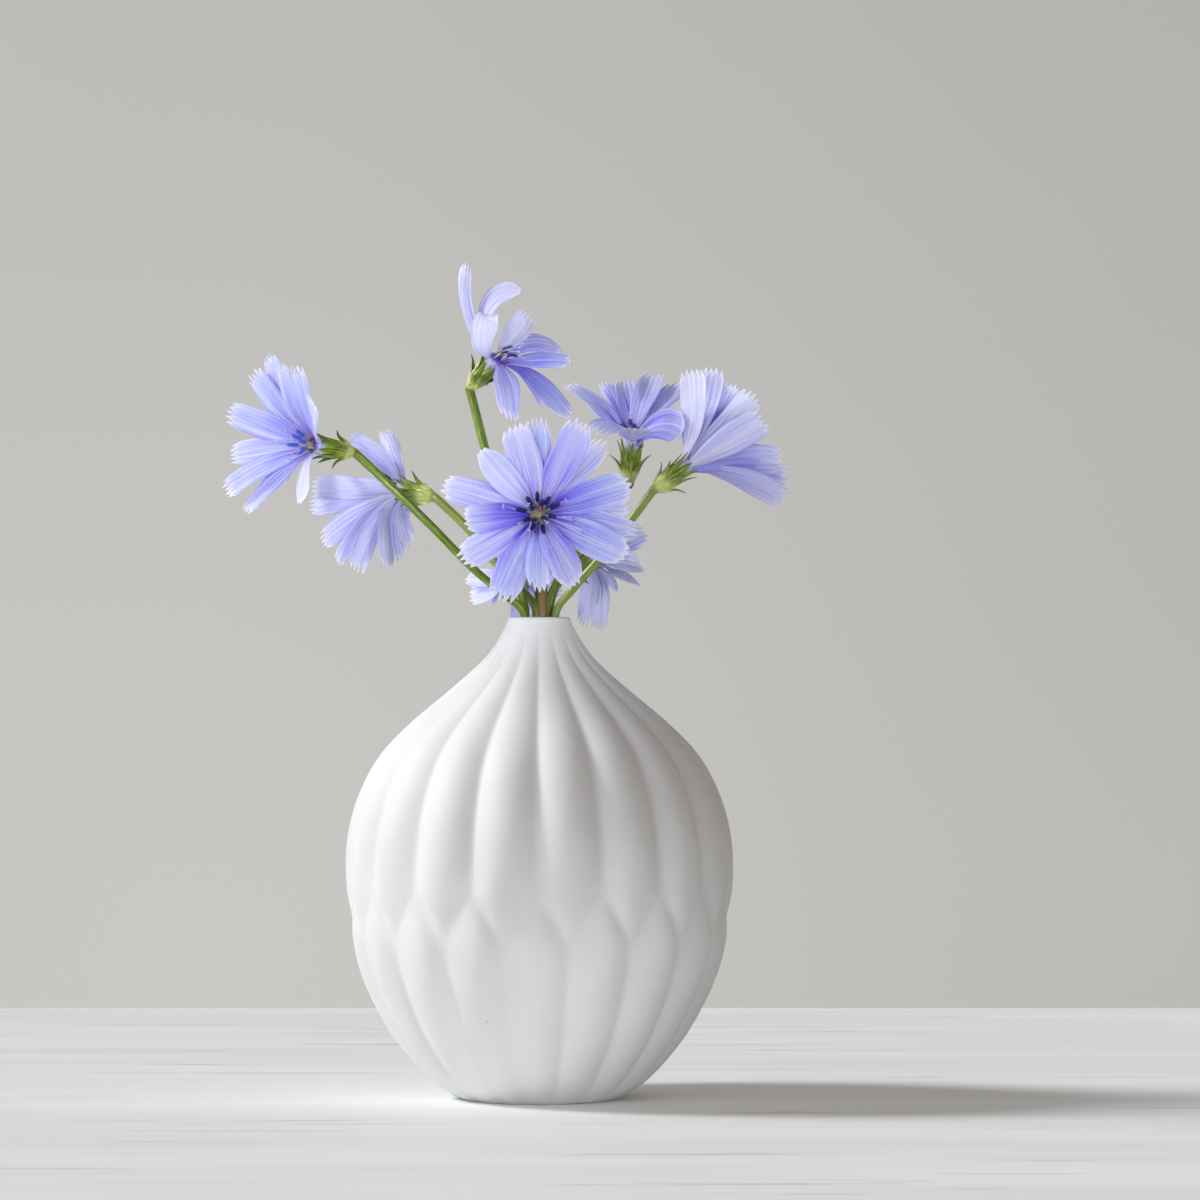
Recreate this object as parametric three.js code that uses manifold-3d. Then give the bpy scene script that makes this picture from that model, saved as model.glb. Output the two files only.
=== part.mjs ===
// Eight cut chicory flowers standing in a small ribbed porcelain bud vase.
// Millimetres, +Z up, the front towards -Y. The origin is the centre of the vase's flat foot.

import * as THREE from "three";
import { mergeVertices } from "three/addons/utils/BufferGeometryUtils.js";
import Module from "manifold-3d";

const wasm = await Module();
wasm.setup();

// ---- vase ---------------------------------------------------------------

// Outline over the crests of the lobes: radius, height. The belly is a little full, since the flat
// facets lie inside the curve.
const VASE_OUTLINE = [
  [16.4, 0],
  [21.7, 3.5],
  [28.9, 11.5],
  [33.7, 19.5],
  [37.1, 27.5],
  [38.9, 35.5],
  [39.7, 45.5],
  [38.1, 55.5],
  [35.2, 63.5],
  [31.4, 69.5],
  [25.4, 75.5],
  [18.1, 81.5],
  [11.4, 87.5],
  [8.3, 91.5],
  [6.4, 95],
  [6.1, 95.7],
  [5.5, 96.1],
];
const VASE = {
  lobes: 18, // in each of the two tiers, the lower tier half a lobe out of step
  relief: 0.056, // depth of a crease, as a share of the radius
  lowRelief: 0.85, // how much of it the creases have below the height reliefFrom
  highRelief: 1.2, // and above the height reliefTo
  reliefFrom: 30,
  reliefTo: 65,
  forkHeight: 41.8, // each upper crease forks here
  meetHeight: 32.2, // two forks meet here as one lower crease
  forkPower: 0.85, // below 1 the tops of the lower lobes are round
  plainFrom: 88, // the creases fade out from this height to the next
  plainTo: 95.5,
  narrowPower: 0.6, // how fast a lobe flattens as its tip narrows
  softness: 0.17, // rounding at the bottom of a crease
  forkSoftness: 2.8, // how much softer the creases are round the fork
  forkLean: 1.4, // and how much of that one branch has more than the other
  forkSpan: 8, // height over which they are softer
  wall: 2.2, // behind the creases
  floor: 3.2,
  mouth: 4.75, // radius inside the neck
  corner: 2, // bevel where the inner wall meets the floor
  columnsPerLobe: 4,
};
const VASE_ROWS = [
  0, 3.5, 11, 19, 25.5, 32.2, 34.6, 37, 39.4, 41.8, 48, 57, 66, 75, 82, 88, 94, 96.1,
];
const CAVITY_ROWS = [10, 22, 38, 57, 68, 76, 83, 91.5];
const CAVITY_SIDES = 24;
const VASE_HEIGHT = 96.1;
const LIP_FLARE = { radius: 5.9, height: 0.6 }; // of the cone that eases the inner edge of the rim
const CUT_BEYOND = 2; // how far a cut runs past the solid it cuts

const WATER = { level: 57, floorGap: 0.3, wallGap: 0.5, corner: 3 };

// ---- stems and heads ----------------------------------------------------

const STEM = {
  sides: 6,
  footRadius: 0.95,
  neckRadius: 0.76,
  topRadius: 0.86,
  footHeight: 3.7,
  neckHeight: 88,
  splay: 3, // how much further apart the stems stand at the foot than in the neck
  holeRadius: 1.4, // of the straight hole that each stem stands in, in the water
};

// The green head below the florets: distance along its axis from the throat, radius.
const HEAD_OUTLINE = [
  [-10, 1],
  [-9.2, 1.35],
  [-8, 1.85],
  [-6, 2.05],
  [-3.9, 2.15],
];
const HEAD_LENGTH = 10;
const INNER_BRACTS = {
  count: 8,
  root: [-5.2, 1.8],
  tip: [-1.5, 3],
  width: 1.7,
  thickness: 0.8,
  turn: 0.13,
};
const OUTER_BRACTS = {
  count: 5,
  root: [-8.1, 1.45],
  tip: [-4.2, 4.6],
  width: 1.6,
  thickness: 0.9,
  turn: 0.35,
};
const CORE = { radius: 1.8, depth: 3.5, sides: 8 };
const FLORET = {
  thickness: 0.6,
  rootRadius: 1.35, // where the blades are rooted in the core
  rootDepths: [0.7, 1.6], // below the throat, by turns, so that the blades pass over each other
  lift: 0.22, // how far a blade's elbow rises along the axis, as a share of its length
  lean: 0.3, // and how far it lies towards the tip
  rootWidth: 0.17, // width at the root, as a share of the widest
  widestAt: 0.7,
  widenPower: 1.1,
  tipNarrowing: 0.14,
  rows: [0, 0.26, 0.62], // shares of the length where the blade may bend
  teeth: 5,
  toothLength: 1.4,
};
const ANTHER = {
  count: 5,
  radius: 0.3,
  footRadius: 0.4, // where the columns are rooted in the hub
  footHeight: 0.54,
  rise: 4.3,
  innerSpread: 0.6, // of every other column, as a share of the bloom's spread
  sides: 3,
  hubRadius: 1.02,
  hubHeight: 0.9,
  hubSides: 6,
  gap: 0.35, // between the throat and the hub
};

// Each bloom: the throat where its florets meet, the way it faces, where its stem stands in the
// neck, the bends of the stem above it, how wide its anthers spread, and its florets. A floret is
// the place of its tip from the throat (x, y, z), its width, its turn in degrees and its sideways bow,
// and the florets go round the throat in order. A floret bent twice also has the two places, from
// the throat, that its line bends towards, and one that is turned has the direction across it.
const BLOOMS = {
  front: {
    throat: [0.2, -25, 116.3],
    facing: [0, -0.995, 0.1],
    neck: [0.7, -3.1],
    bends: [[0.8, -3.4, 97], [0.8, -4.6, 105], [0.5, -8, 111.5]],
    antherSpread: 3.2,
    florets: [
      [-4.7, -1, 17.5, 6.2, 0, 0],
      [-0.4, 1, 19.2, 5, 0, 0],
      [8.6, -0.5, 18.4, 6.2, 0, 0],
      [13.4, 2, 14.6, 5, 0, 0],
      [18.2, -1, 5.9, 6.6, -10, 0],
      [18, 2.5, 1.6, 5.6, 0, 0],
      [19.8, 1, -3.3, 5.4, 25, 0],
      [17.6, -1.5, -8, 7, 0, 0],
      [7.2, -5, -14.4, 5.8, 8, 0],
      [0.2, -4, -15.4, 5.2, 0, 0],
      [-8, 0, -17, 6.6, 0, 0],
      [-15.6, -2, -9.2, 6, -8, 0],
      [-14.6, -6, -1, 5.4, 12, 0],
      [-19, 0, 5.7, 6.2, 0, 0],
      [-11.5, -3, 12.5, 6, 0, 0],
    ],
  },
  top: {
    throat: [-8.5, 0, 148.1],
    facing: [0.56, -0.56, 0.61],
    neck: [-2.7, 0.9],
    bends: [[-2.8, 0.7, 97], [-4.1, -0.1, 102], [-7.6, 1.2, 116], [-11, 3.2, 130]],
    antherSpread: 1.5,
    antherLean: [2.2, 0, -2.4],
    florets: [
      [15, -3, -12.4, 7, 0, 0],
      [15.2, -2, -1, 5, 0, 0],
      [9, 12, -9, 5, 0, 0],
      [13, 6, 1.4, 5, 0, 0, [4, 2, 3.2], [9, 4, 4.4]],
      [6.6, 8, 9.2, 5, 0, 0],
      [5.4, 1, 13.4, 5, 0, 0, [-4.5, 3, 5], [-3.2, 3, 14], [0.55, -0.7, -0.4]],
      [-6.2, 4, 19.4, 4, 0, 0, [-3.8, 4, 3.4], [-8.8, 5, 10], [0.62, -0.78, 0]],
      [0, -5, 8.2, 5.4, 0, 0, [-3, -6, 0.5], [-3.2, -9.5, 8.4], [1, 0.1, 0.1]],
      [3, -7, -13.2, 6.4, 0, 0],
    ],
  },
  far_left: {
    throat: [-44.9, -10, 130.2],
    facing: [-0.8, -0.58, 0.12],
    neck: [-3, -1.85],
    bends: [
      [-3, -1.9, 96.6],
      [-7.5, -3.6, 101],
      [-13.4, -5, 106],
      [-21.4, -6.2, 114.2],
      [-30, -5.8, 122.6],
    ],
    antherSpread: 2.2,
    florets: [
      [-1.2, -9, -11.5, 5, 0, 0],
      [0.6, -12, 9, 5.4, 0, -2],
      [-3, -8, 15.5, 7, 0, -3.4],
      [-6, -4, 16.4, 6, 0, 0],
      [-9, 4, 18, 5, 0, 0],
      [-12.3, 5, 14.7, 5.5, 0, 0],
      [-6, 15, 8, 5, 0, 0],
      [-17.2, 6, 7, 5.5, 0, 0],
      [-16.8, 7, -1.8, 5, 0, 0],
      [-7, 15, -6, 5, 0, 0],
      [-17.8, 4, -9.1, 5, 0, 0],
      [-13.9, 2, -13.3, 4.5, 0, 0],
    ],
  },
  left: {
    throat: [-28.7, 7, 121.8],
    facing: [-0.77, 0.6, 0.17],
    neck: [-0.6, 1.4],
    bends: [[-0.6, 1.6, 97], [-3.6, 2.6, 101.6], [-9.7, 2.7, 108], [-14.5, 2, 114]],
    antherSpread: 2,
    florets: [
      [-1.8, -6, -16, 5, 0, 0],
      [-8.3, -5, -16.4, 6, 0, 0],
      [-12, -3, -15.2, 5, 0, 0],
      [-15, -5, -10.9, 5.5, 0, 0],
      [-17.5, -4, -3.6, 5, 0, 0],
      [-17, -6, 0.4, 5, 0, 0],
      [-10.5, 4, 10, 4.4, 0, 0, [-1.5, 1, 5], [-6, 2.5, 9], [0.7, 0, 0.7]],
      [-3.4, 9, 12.4, 3.4, 0, 0, [-0.2, 2.5, 5], [-1.4, 6, 9], [0.9, 0, 0.35]],
      [-6.5, 13, 5.5, 5, 0, 0],
      [3, 14, -4, 5, 0, 0],
      [2.4, 6, -11.9, 4.5, 0, 0],
      [0.4, 6, -14.5, 4.5, 0, 0],
    ],
  },
  right: {
    throat: [18.6, 10, 132.6],
    facing: [0.05, -0.25, 0.95],
    neck: [1.6, 0.4],
    bends: [[1.9, 0.5, 97], [4.5, 2, 105], [11, 6.5, 113.5]],
    antherSpread: 1.9,
    florets: [
      [0.6, -12.5, 1.4, 6.4, 0, 0, [0.2, -4, -0.4], [0.4, -9, 0.6], [1, 0, 0]],
      [10, -11, 0.6, 6.6, 0, 0, [3, -3, 2.6], [8, -8, 3.2], [-0.15, 0.35, 0.93]],
      [12, 9, 4.5, 5, 0, 0],
      [10.1, 10, 11.3, 6, 0, 0],
      [5, 12, 13.1, 5.4, 0, 0],
      [-1.4, 14, 11.7, 5, 0, 0],
      [-5.4, 13, 11.3, 4.4, 0, 0],
      [-8, 13, 7, 5, 0, 0],
      [-13.2, 4, 10.6, 6.4, 0, 0],
      [-7.4, -12, 0, 5.6, 0, 0, [-1.6, -4, 2.4], [-5, -9, 3.6], [0.8, -0.4, -0.45]],
    ],
  },
  far_right: {
    throat: [30.3, 0, 126.9],
    facing: [0.75, 0.35, 0.55],
    neck: [3.2, -1.2],
    bends: [[3.3, -1.25, 96.8], [6.6, -1.9, 101.5], [12.1, -2.7, 107.8], [18, -3.6, 115]],
    antherSpread: 1.9,
    florets: [
      [11, 14, 2, 6, 0, 0],
      [8, 15, 8, 6, 0, 0],
      [-1.5, 13, 9, 4, 0, 0],
      [8.6, 5, 16.4, 6, 45, 0],
      [4.2, 3, 19.4, 6.4, 45, 0],
      [0.2, -1, 18.8, 6.4, 40, 0],
      [13, -3, 13.8, 6, 0, 0],
      [15, -6, 8.6, 6.2, 0, 0],
      [18.8, 0, 0.6, 6.4, -40, 0],
      [19.4, 2, -3.4, 6.2, -45, 0],
      [19.4, 1, -7.8, 6, -45, 0],
    ],
  },
  low_right: {
    throat: [10.9, 12.2, 108.1],
    facing: [0.62, 0.68, 0.38],
    neck: [1.4, 2.9],
    bends: [[1.5, 3.1, 97], [2.6, 3.8, 101]],
    antherSpread: 1.9,
    florets: [
      [8.5, 13, -5.5, 5, 0, 0],
      [-2.2, 4, -14, 5.5, 0, 0],
      [3.6, 14, -6.3, 5, 0, 0],
      [-3, 14, 4.5, 5, 0, 0],
      [-6.1, 7.9, 11.4, 5, 0, 0],
      [-3, 2, 14.5, 5, 0, 0],
      [10.5, -10, 5.3, 5, 0, 0],
      [9.9, -12, -1.8, 4.5, 0, 0],
      [1.2, 1, -14.8, 4.5, 0, 0],
    ],
  },
  low_left: {
    throat: [-5, 15, 103.6],
    facing: [-0.15, 0.9, -0.4],
    neck: [-0.85, 3.4],
    bends: [
      [-0.8, 3.6, 96.5],
      [-0.3, 4.1, 100.5],
      [-1.1, 2.3, 104.6],
      [-2.6, 2.6, 107.6],
    ],
    antherSpread: 1.1,
    florets: [
      [-9.5, 8, -3.5, 5, 0, 0],
      [-5.5, 10, -3.8, 5, 0, 0],
      [-10.2, 9, 0.8, 4.5, 0, 0],
      [-6, 8, 8.5, 5, 0, 0],
      [-1, 8, 11, 5, 0, 0],
      [4, 9, 9, 5, 0, 0],
      [7.5, 9, 5.5, 5, 0, 0],
      [9.5, 10, -1.5, 5, 0, 0],
      [6, 10, -6, 5, 0, 0],
      [1, 9, -8.5, 5, 0, 0],
    ],
  },
};

// ---- finishes -----------------------------------------------------------

const FINISHES = {
  bisque: { color: 0xeeece6, roughness: 0.75, metalness: 0 },
  water: { color: 0xdcebf2, roughness: 0.05, metalness: 0, transparent: true, opacity: 0.5 },
  stem: { color: 0x5d7f2c, roughness: 0.6, metalness: 0 },
  petal: { color: 0x949be4, roughness: 0.55, metalness: 0 },
  anther: { color: 0x23225a, roughness: 0.5, metalness: 0 },
};

// ---- small helpers ------------------------------------------------------

const vec = (xyz) => new THREE.Vector3(...xyz);
const clamp01 = (value) => THREE.MathUtils.clamp(value, 0, 1);
const smooth = (value) => THREE.MathUtils.smoothstep(value, 0, 1);

// A closed mesh as a solid that can be joined and cut.
function solidOf(geometry) {
  for (const name of ["normal", "uv"]) geometry.deleteAttribute(name);
  const merged = mergeVertices(geometry, 1e-4);
  const vertProperties = merged.attributes.position.array;
  const triVerts = new Uint32Array(merged.index.array);
  return new wasm.Manifold(new wasm.Mesh({ numProp: 3, vertProperties, triVerts }));
}

function nodeOf(name, solid, finish) {
  const { vertProperties, triVerts } = solid.getMesh();
  const geometry = new THREE.BufferGeometry();
  geometry.setAttribute("position", new THREE.BufferAttribute(vertProperties, 3));
  geometry.setIndex(new THREE.BufferAttribute(triVerts, 1));
  geometry.computeVertexNormals();
  const mesh = new THREE.Mesh(geometry, new THREE.MeshStandardMaterial(FINISHES[finish]));
  mesh.name = name;
  return mesh;
}

function geometryOf(points, triangles) {
  const geometry = new THREE.BufferGeometry().setFromPoints(points);
  return geometry.setIndex(triangles);
}

// A closed skin over rings of as many points each, with a fan at each end, the last one to the apex.
function skin(rings, apex) {
  const sides = rings[0].length;
  const points = rings.flat();
  const triangles = [];
  for (let row = 0; row + 1 < rings.length; row++) {
    for (let i = 0; i < sides; i++) {
      const a = row * sides + i;
      const b = row * sides + ((i + 1) % sides);
      triangles.push(a, b, b + sides, a, b + sides, a + sides);
    }
  }
  const last = (rings.length - 1) * sides;
  const middle = (ring) => {
    const sum = new THREE.Vector3();
    ring.forEach((point) => sum.add(point));
    return sum.divideScalar(sides);
  };
  points.push(middle(rings[0]), apex ?? middle(rings.at(-1)));
  for (let i = 0; i < sides; i++) {
    const next = (i + 1) % sides;
    triangles.push(next, i, points.length - 2, last + i, last + next, points.length - 1);
  }
  return geometryOf(points, triangles);
}

// A ring of points round a centre, in the plane across a direction.
function ringAcross(centre, direction, radius, sides) {
  const turn = new THREE.Quaternion().setFromUnitVectors(new THREE.Vector3(0, 0, 1), direction);
  return Array.from({ length: sides }, (_, i) => {
    const angle = (2 * Math.PI * i) / sides;
    const offset = new THREE.Vector3(radius * Math.cos(angle), radius * Math.sin(angle), 0);
    return offset.applyQuaternion(turn).add(centre);
  });
}

// Solids fused into one body: a hollow that this seals is filled, and a loose scrap is dropped.
function joined(solids) {
  const bodies = solids.reduce((sum, solid) => sum.add(solid)).decompose();
  return bodies.reduce((largest, body) => (body.volume() > largest.volume() ? body : largest));
}

// ---- the vase and its water ---------------------------------------------

// Radius over the crests at a height: a cubic through the outline's points.
function crestRadius(height) {
  const last = VASE_OUTLINE.length - 1;
  const i = Math.min(last - 1, Math.max(0, VASE_OUTLINE.findLastIndex((p) => p[1] <= height)));
  const slope = (k) => {
    const [before, after] = [VASE_OUTLINE[Math.max(0, k - 1)], VASE_OUTLINE[Math.min(last, k + 1)]];
    return (after[0] - before[0]) / (after[1] - before[1]);
  };
  const [[r0, z0], [r1, z1]] = [VASE_OUTLINE[i], VASE_OUTLINE[i + 1]];
  const step = z1 - z0;
  const t = (height - z0) / step;
  const ease = t * t * (3 - 2 * t);
  const hermite = slope(i) * t * (1 - t) ** 2 - slope(i + 1) * t * t * (1 - t);
  return r0 + (r1 - r0) * ease + step * hermite;
}

// 1 on the crest of a lobe and 0 in a crease. Below the fork the creases slide half a lobe aside.
function lobeHeight(angle, height) {
  const half = Math.PI / VASE.lobes;
  const fall = clamp01((VASE.forkHeight - height) / (VASE.forkHeight - VASE.meetHeight));
  const slide = half * fall ** VASE.forkPower;
  const aside = (((angle + Math.PI / 2) / half + 1) % 2) - 1;
  const fromCrease = Math.abs(aside) * half;
  const upper = fromCrease > slide;
  const width = Math.max(upper ? half - slide : slide, half / 1000);
  const across = (upper ? half - fromCrease : fromCrease) / width;
  const ease = smooth(fall);
  const bulge = (upper ? 1 - ease : ease) ** VASE.narrowPower * (1 - across ** 2);
  const middle = (VASE.forkHeight + VASE.meetHeight) / 2;
  const nearFork = Math.exp(-(((height - middle) / VASE.forkSpan) ** 2));
  const softer = VASE.forkSoftness - VASE.forkLean * Math.sin(Math.PI * aside);
  const softness = VASE.softness * (1 + nearFork * softer);
  return Math.sqrt(bulge ** 2 + softness ** 2) - softness;
}

function vaseRadius(angle, height) {
  const fade = 1 - smooth((height - VASE.plainFrom) / (VASE.plainTo - VASE.plainFrom));
  const rise = smooth((height - VASE.reliefFrom) / (VASE.reliefTo - VASE.reliefFrom));
  const share = THREE.MathUtils.lerp(VASE.lowRelief, VASE.highRelief, rise);
  const depth = VASE.relief * share * fade;
  return crestRadius(height) * (1 - depth * (1 - lobeHeight(angle, height)));
}

// Radius of the plain inner wall.
function cavityRadius(height) {
  const inCreases = crestRadius(height) * (1 - VASE.highRelief * VASE.relief);
  return Math.max(VASE.mouth, inCreases - VASE.wall);
}

function vase() {
  const columns = VASE.lobes * VASE.columnsPerLobe;
  const outside = VASE_ROWS.map((height) =>
    Array.from({ length: columns }, (_, i) => {
      const angle = (2 * Math.PI * i) / columns + 2 * Math.PI - Math.PI / 2;
      const radius = vaseRadius(angle, height);
      return vec([radius * Math.cos(angle), radius * Math.sin(angle), height]);
    }),
  );
  const cavity = [
    [0, VASE.floor],
    [cavityRadius(VASE.floor) - VASE.corner, VASE.floor],
    ...CAVITY_ROWS.map((height) => [cavityRadius(height), height]),
    [VASE.mouth, VASE_HEIGHT - LIP_FLARE.height],
    [LIP_FLARE.radius, VASE_HEIGHT + CUT_BEYOND],
    [0, VASE_HEIGHT + CUT_BEYOND],
  ];
  return solidOf(skin(outside)).subtract(lathe(cavity));
}

// A solid of revolution about Z through points of radius and height.
function lathe(profile) {
  const points = profile.map(([radius, height]) => new THREE.Vector2(radius, height));
  return solidOf(new THREE.LatheGeometry(points, CAVITY_SIDES).rotateX(Math.PI / 2));
}

function water(stems) {
  const low = VASE.floor + WATER.floorGap;
  const radius = (height) => cavityRadius(height) - WATER.wallGap;
  const rows = CAVITY_ROWS.filter((height) => height <= WATER.level);
  const body = lathe([
    [0, low],
    [radius(low) - WATER.corner, low],
    ...rows.map((height) => [radius(height), height]),
    [0, WATER.level],
  ]);
  const holes = stems.map((stem) => {
    const direction = stem.neck.clone().sub(stem.foot).normalize();
    const below = stem.foot.clone().addScaledVector(direction, -CUT_BEYOND);
    const ends = [below, stem.neck];
    return solidOf(skin(ends.map((p) => ringAcross(p, direction, STEM.holeRadius, STEM.sides))));
  });
  return holes.reduce((rest, hole) => rest.subtract(hole), body);
}

// ---- stems --------------------------------------------------------------

function stemOf(bloom) {
  const [x, y] = bloom.neck;
  return {
    foot: vec([x * STEM.splay, y * STEM.splay, STEM.footHeight]),
    neck: vec([x, y, STEM.neckHeight]),
  };
}

// The stem and the green head on it, as one skin: straight in the vase, bent above it.
function stemSkin(bloom) {
  const { foot, neck } = stemOf(bloom);
  const axis = vec(bloom.facing).normalize();
  const throat = vec(bloom.throat);
  const base = throat.clone().addScaledVector(axis, -HEAD_LENGTH);
  const places = [neck, ...bloom.bends.map(vec), base];
  const bend = new THREE.CatmullRomCurve3(places, false, "catmullrom");
  const steps = bloom.bends.length + 2;
  const straight = neck.clone().sub(foot).normalize();
  const rings = [
    ringAcross(foot, straight, STEM.footRadius, STEM.sides),
    ringAcross(neck, straight, STEM.neckRadius, STEM.sides),
  ];
  for (let i = 1; i < steps; i++) {
    const t = i / steps;
    const radius = THREE.MathUtils.lerp(STEM.neckRadius, STEM.topRadius, t);
    rings.push(ringAcross(bend.getPoint(t), bend.getTangent(t), radius, STEM.sides));
  }
  for (const [along, radius] of HEAD_OUTLINE) {
    rings.push(ringAcross(throat.clone().addScaledVector(axis, along), axis, radius, STEM.sides));
  }
  return solidOf(skin(rings));
}

// The three directions of a head: its axis, and two across it.
function headFrame(bloom) {
  const axis = vec(bloom.facing).normalize();
  const turn = new THREE.Quaternion().setFromUnitVectors(new THREE.Vector3(0, 0, 1), axis);
  const [right, up] = [new THREE.Vector3(1, 0, 0), new THREE.Vector3(0, 1, 0)];
  return { axis, right: right.applyQuaternion(turn), up: up.applyQuaternion(turn) };
}

// A whorl of narrow pointed bracts, each three-sided with its keel inwards.
function bracts(bloom, whorl) {
  const { axis, right, up } = headFrame(bloom);
  const throat = vec(bloom.throat);
  return Array.from({ length: whorl.count }, (_, i) => {
    const angle = (2 * Math.PI * i) / whorl.count + whorl.turn;
    const out = right.clone().multiplyScalar(Math.cos(angle)).addScaledVector(up, Math.sin(angle));
    const across = axis.clone().cross(out);
    const place = (along, from, aside) => {
      const point = throat.clone().addScaledVector(axis, along);
      return point.addScaledVector(out, from).addScaledVector(across, aside);
    };
    const ring = ([along, from]) => [
      place(along, from - whorl.thickness / 2, 0),
      place(along, from + whorl.thickness / 2, -whorl.width / 2),
      place(along, from + whorl.thickness / 2, whorl.width / 2),
    ];
    return solidOf(skin([ring(whorl.root)], place(...whorl.tip, 0)));
  });
}

function stemNode(bloom) {
  return joined([stemSkin(bloom), ...bracts(bloom, INNER_BRACTS), ...bracts(bloom, OUTER_BRACTS)]);
}

// ---- florets ------------------------------------------------------------

// Half the width of a blade at a share of its length.
function halfWidth(width, t) {
  const { rootWidth, widestAt, widenPower, tipNarrowing } = FLORET;
  const widen = Math.sin((Math.PI / 2) * Math.min(1, t / widestAt)) ** widenPower;
  const narrow = tipNarrowing * Math.max(0, (t - widestAt) / (1 - widestAt)) ** 2;
  return (width / 2) * (rootWidth + (1 - rootWidth) * widen) * (1 - narrow);
}

// Triangles between two rows of points that run the same way, by how far along each point lies.
function stitch(from, fromCount, to, toCount) {
  const triangles = [];
  const [lastFrom, lastTo] = [fromCount - 1, toCount - 1];
  let [i, j] = [0, 0];
  while (i < lastFrom || j < lastTo) {
    const stepFrom = j === lastTo || (i < lastFrom && (i + 0.5) / lastFrom <= (j + 0.5) / lastTo);
    triangles.push(from + i, stepFrom ? from + i + 1 : to + j + 1, to + j);
    if (stepFrom) i++;
    else j++;
  }
  return triangles;
}

// One blade: its middle line rises from the core over an elbow and runs out to the toothed tip.
function floret(bloom, [dx, dy, dz, width, turn, bow, near, far, acrossIt], index) {
  const axis = vec(bloom.facing).normalize();
  const throat = vec(bloom.throat);
  const reach = vec([dx, dy, dz]);
  const length = reach.length();
  const outward = reach.clone().addScaledVector(axis, -reach.dot(axis)).normalize();
  const side = acrossIt ? vec(acrossIt).normalize() : axis.clone().cross(outward);
  const depth = FLORET.rootDepths[index % 2];
  const root = throat.clone().addScaledVector(outward, FLORET.rootRadius);
  root.addScaledVector(axis, -depth);
  const elbow = root.clone().addScaledVector(axis, FLORET.lift * length);
  elbow.addScaledVector(reach, FLORET.lean).addScaledVector(side, bow);
  const tip = throat.clone().add(reach);
  const line = near
    ? new THREE.CubicBezierCurve3(root, vec(near).add(throat), vec(far).add(throat), tip)
    : new THREE.QuadraticBezierCurve3(root, elbow, tip);

  const upper = [];
  const lower = [];
  const place = (t, across) => {
    const tangent = line.getTangent(t);
    const normal = tangent.clone().cross(side).normalize();
    const roll = THREE.MathUtils.degToRad(turn) * t;
    const over = normal.clone().cross(tangent).applyAxisAngle(tangent, roll);
    normal.applyAxisAngle(tangent, roll);
    const point = line.getPoint(t).addScaledVector(over, across * halfWidth(width, t));
    upper.push(point.clone().addScaledVector(normal, FLORET.thickness / 2));
    lower.push(point.clone().addScaledVector(normal, -FLORET.thickness / 2));
  };
  const face = [];
  const left = [];
  const right = [];
  const addRow = (t, count) => {
    const start = upper.length;
    for (let i = 0; i < count; i++) place(t, (2 * i) / (count - 1) - 1);
    if (start > 0) face.push(...stitch(left.at(-1), right.at(-1) - left.at(-1) + 1, start, count));
    left.push(start);
    right.push(start + count - 1);
  };
  FLORET.rows.forEach((t) => addRow(t, 2));
  addRow(1 - FLORET.toothLength / length, FLORET.teeth + 1);
  const notches = left.at(-1);
  const teeth = upper.length;
  for (let i = 0; i < FLORET.teeth; i++) {
    place(1, (2 * i + 1) / FLORET.teeth - 1);
    face.push(notches + i, notches + i + 1, teeth + i);
  }
  const total = upper.length;
  const crown = [];
  for (let i = FLORET.teeth - 1; i > 0; i--) crown.push(teeth + i, notches + i);
  const rim = [...right, ...crown, teeth, ...left.reverse()];

  const triangles = [];
  for (let i = 0; i < face.length; i += 3) {
    const [a, b, c] = face.slice(i, i + 3);
    triangles.push(a, c, b, total + a, total + b, total + c);
  }
  rim.forEach((a, i) => {
    const b = rim[(i + 1) % rim.length];
    triangles.push(a, total + b, total + a, a, b, total + b);
  });
  return solidOf(geometryOf([...upper, ...lower], triangles));
}

function floretsNode(bloom) {
  const axis = vec(bloom.facing).normalize();
  const throat = vec(bloom.throat);
  const core = skin(
    [-CORE.depth, 0].map((along) =>
      ringAcross(throat.clone().addScaledVector(axis, along), axis, CORE.radius, CORE.sides),
    ),
  );
  return joined([solidOf(core), ...bloom.florets.map((row, i) => floret(bloom, row, i))]);
}

// ---- anthers ------------------------------------------------------------

// Slim columns that lean out from a low hub in the throat.
function anthersNode(bloom) {
  const { axis, right, up } = headFrame(bloom);
  const throat = vec(bloom.throat);
  const at = (along) => throat.clone().addScaledVector(axis, along);
  const hub = skin([
    ringAcross(at(ANTHER.gap), axis, ANTHER.hubRadius, ANTHER.hubSides),
    ringAcross(at(ANTHER.hubHeight), axis, ANTHER.hubRadius, ANTHER.hubSides),
  ]);
  const columns = Array.from({ length: ANTHER.count }, (_, i) => {
    const angle = (2 * Math.PI * i) / ANTHER.count;
    const out = right.clone().multiplyScalar(Math.cos(angle)).addScaledVector(up, Math.sin(angle));
    const spread = bloom.antherSpread * (i % 2 ? 1 : ANTHER.innerSpread);
    const foot = at(ANTHER.footHeight).addScaledVector(out, ANTHER.footRadius);
    const tip = at(ANTHER.rise).addScaledVector(out, spread).add(vec(bloom.antherLean ?? [0, 0, 0]));
    const direction = tip.clone().sub(foot).normalize();
    const ends = [foot, tip];
    return solidOf(skin(ends.map((p) => ringAcross(p, direction, ANTHER.radius, ANTHER.sides))));
  });
  return joined([solidOf(hub), ...columns]);
}

// ---- the whole ----------------------------------------------------------

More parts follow.
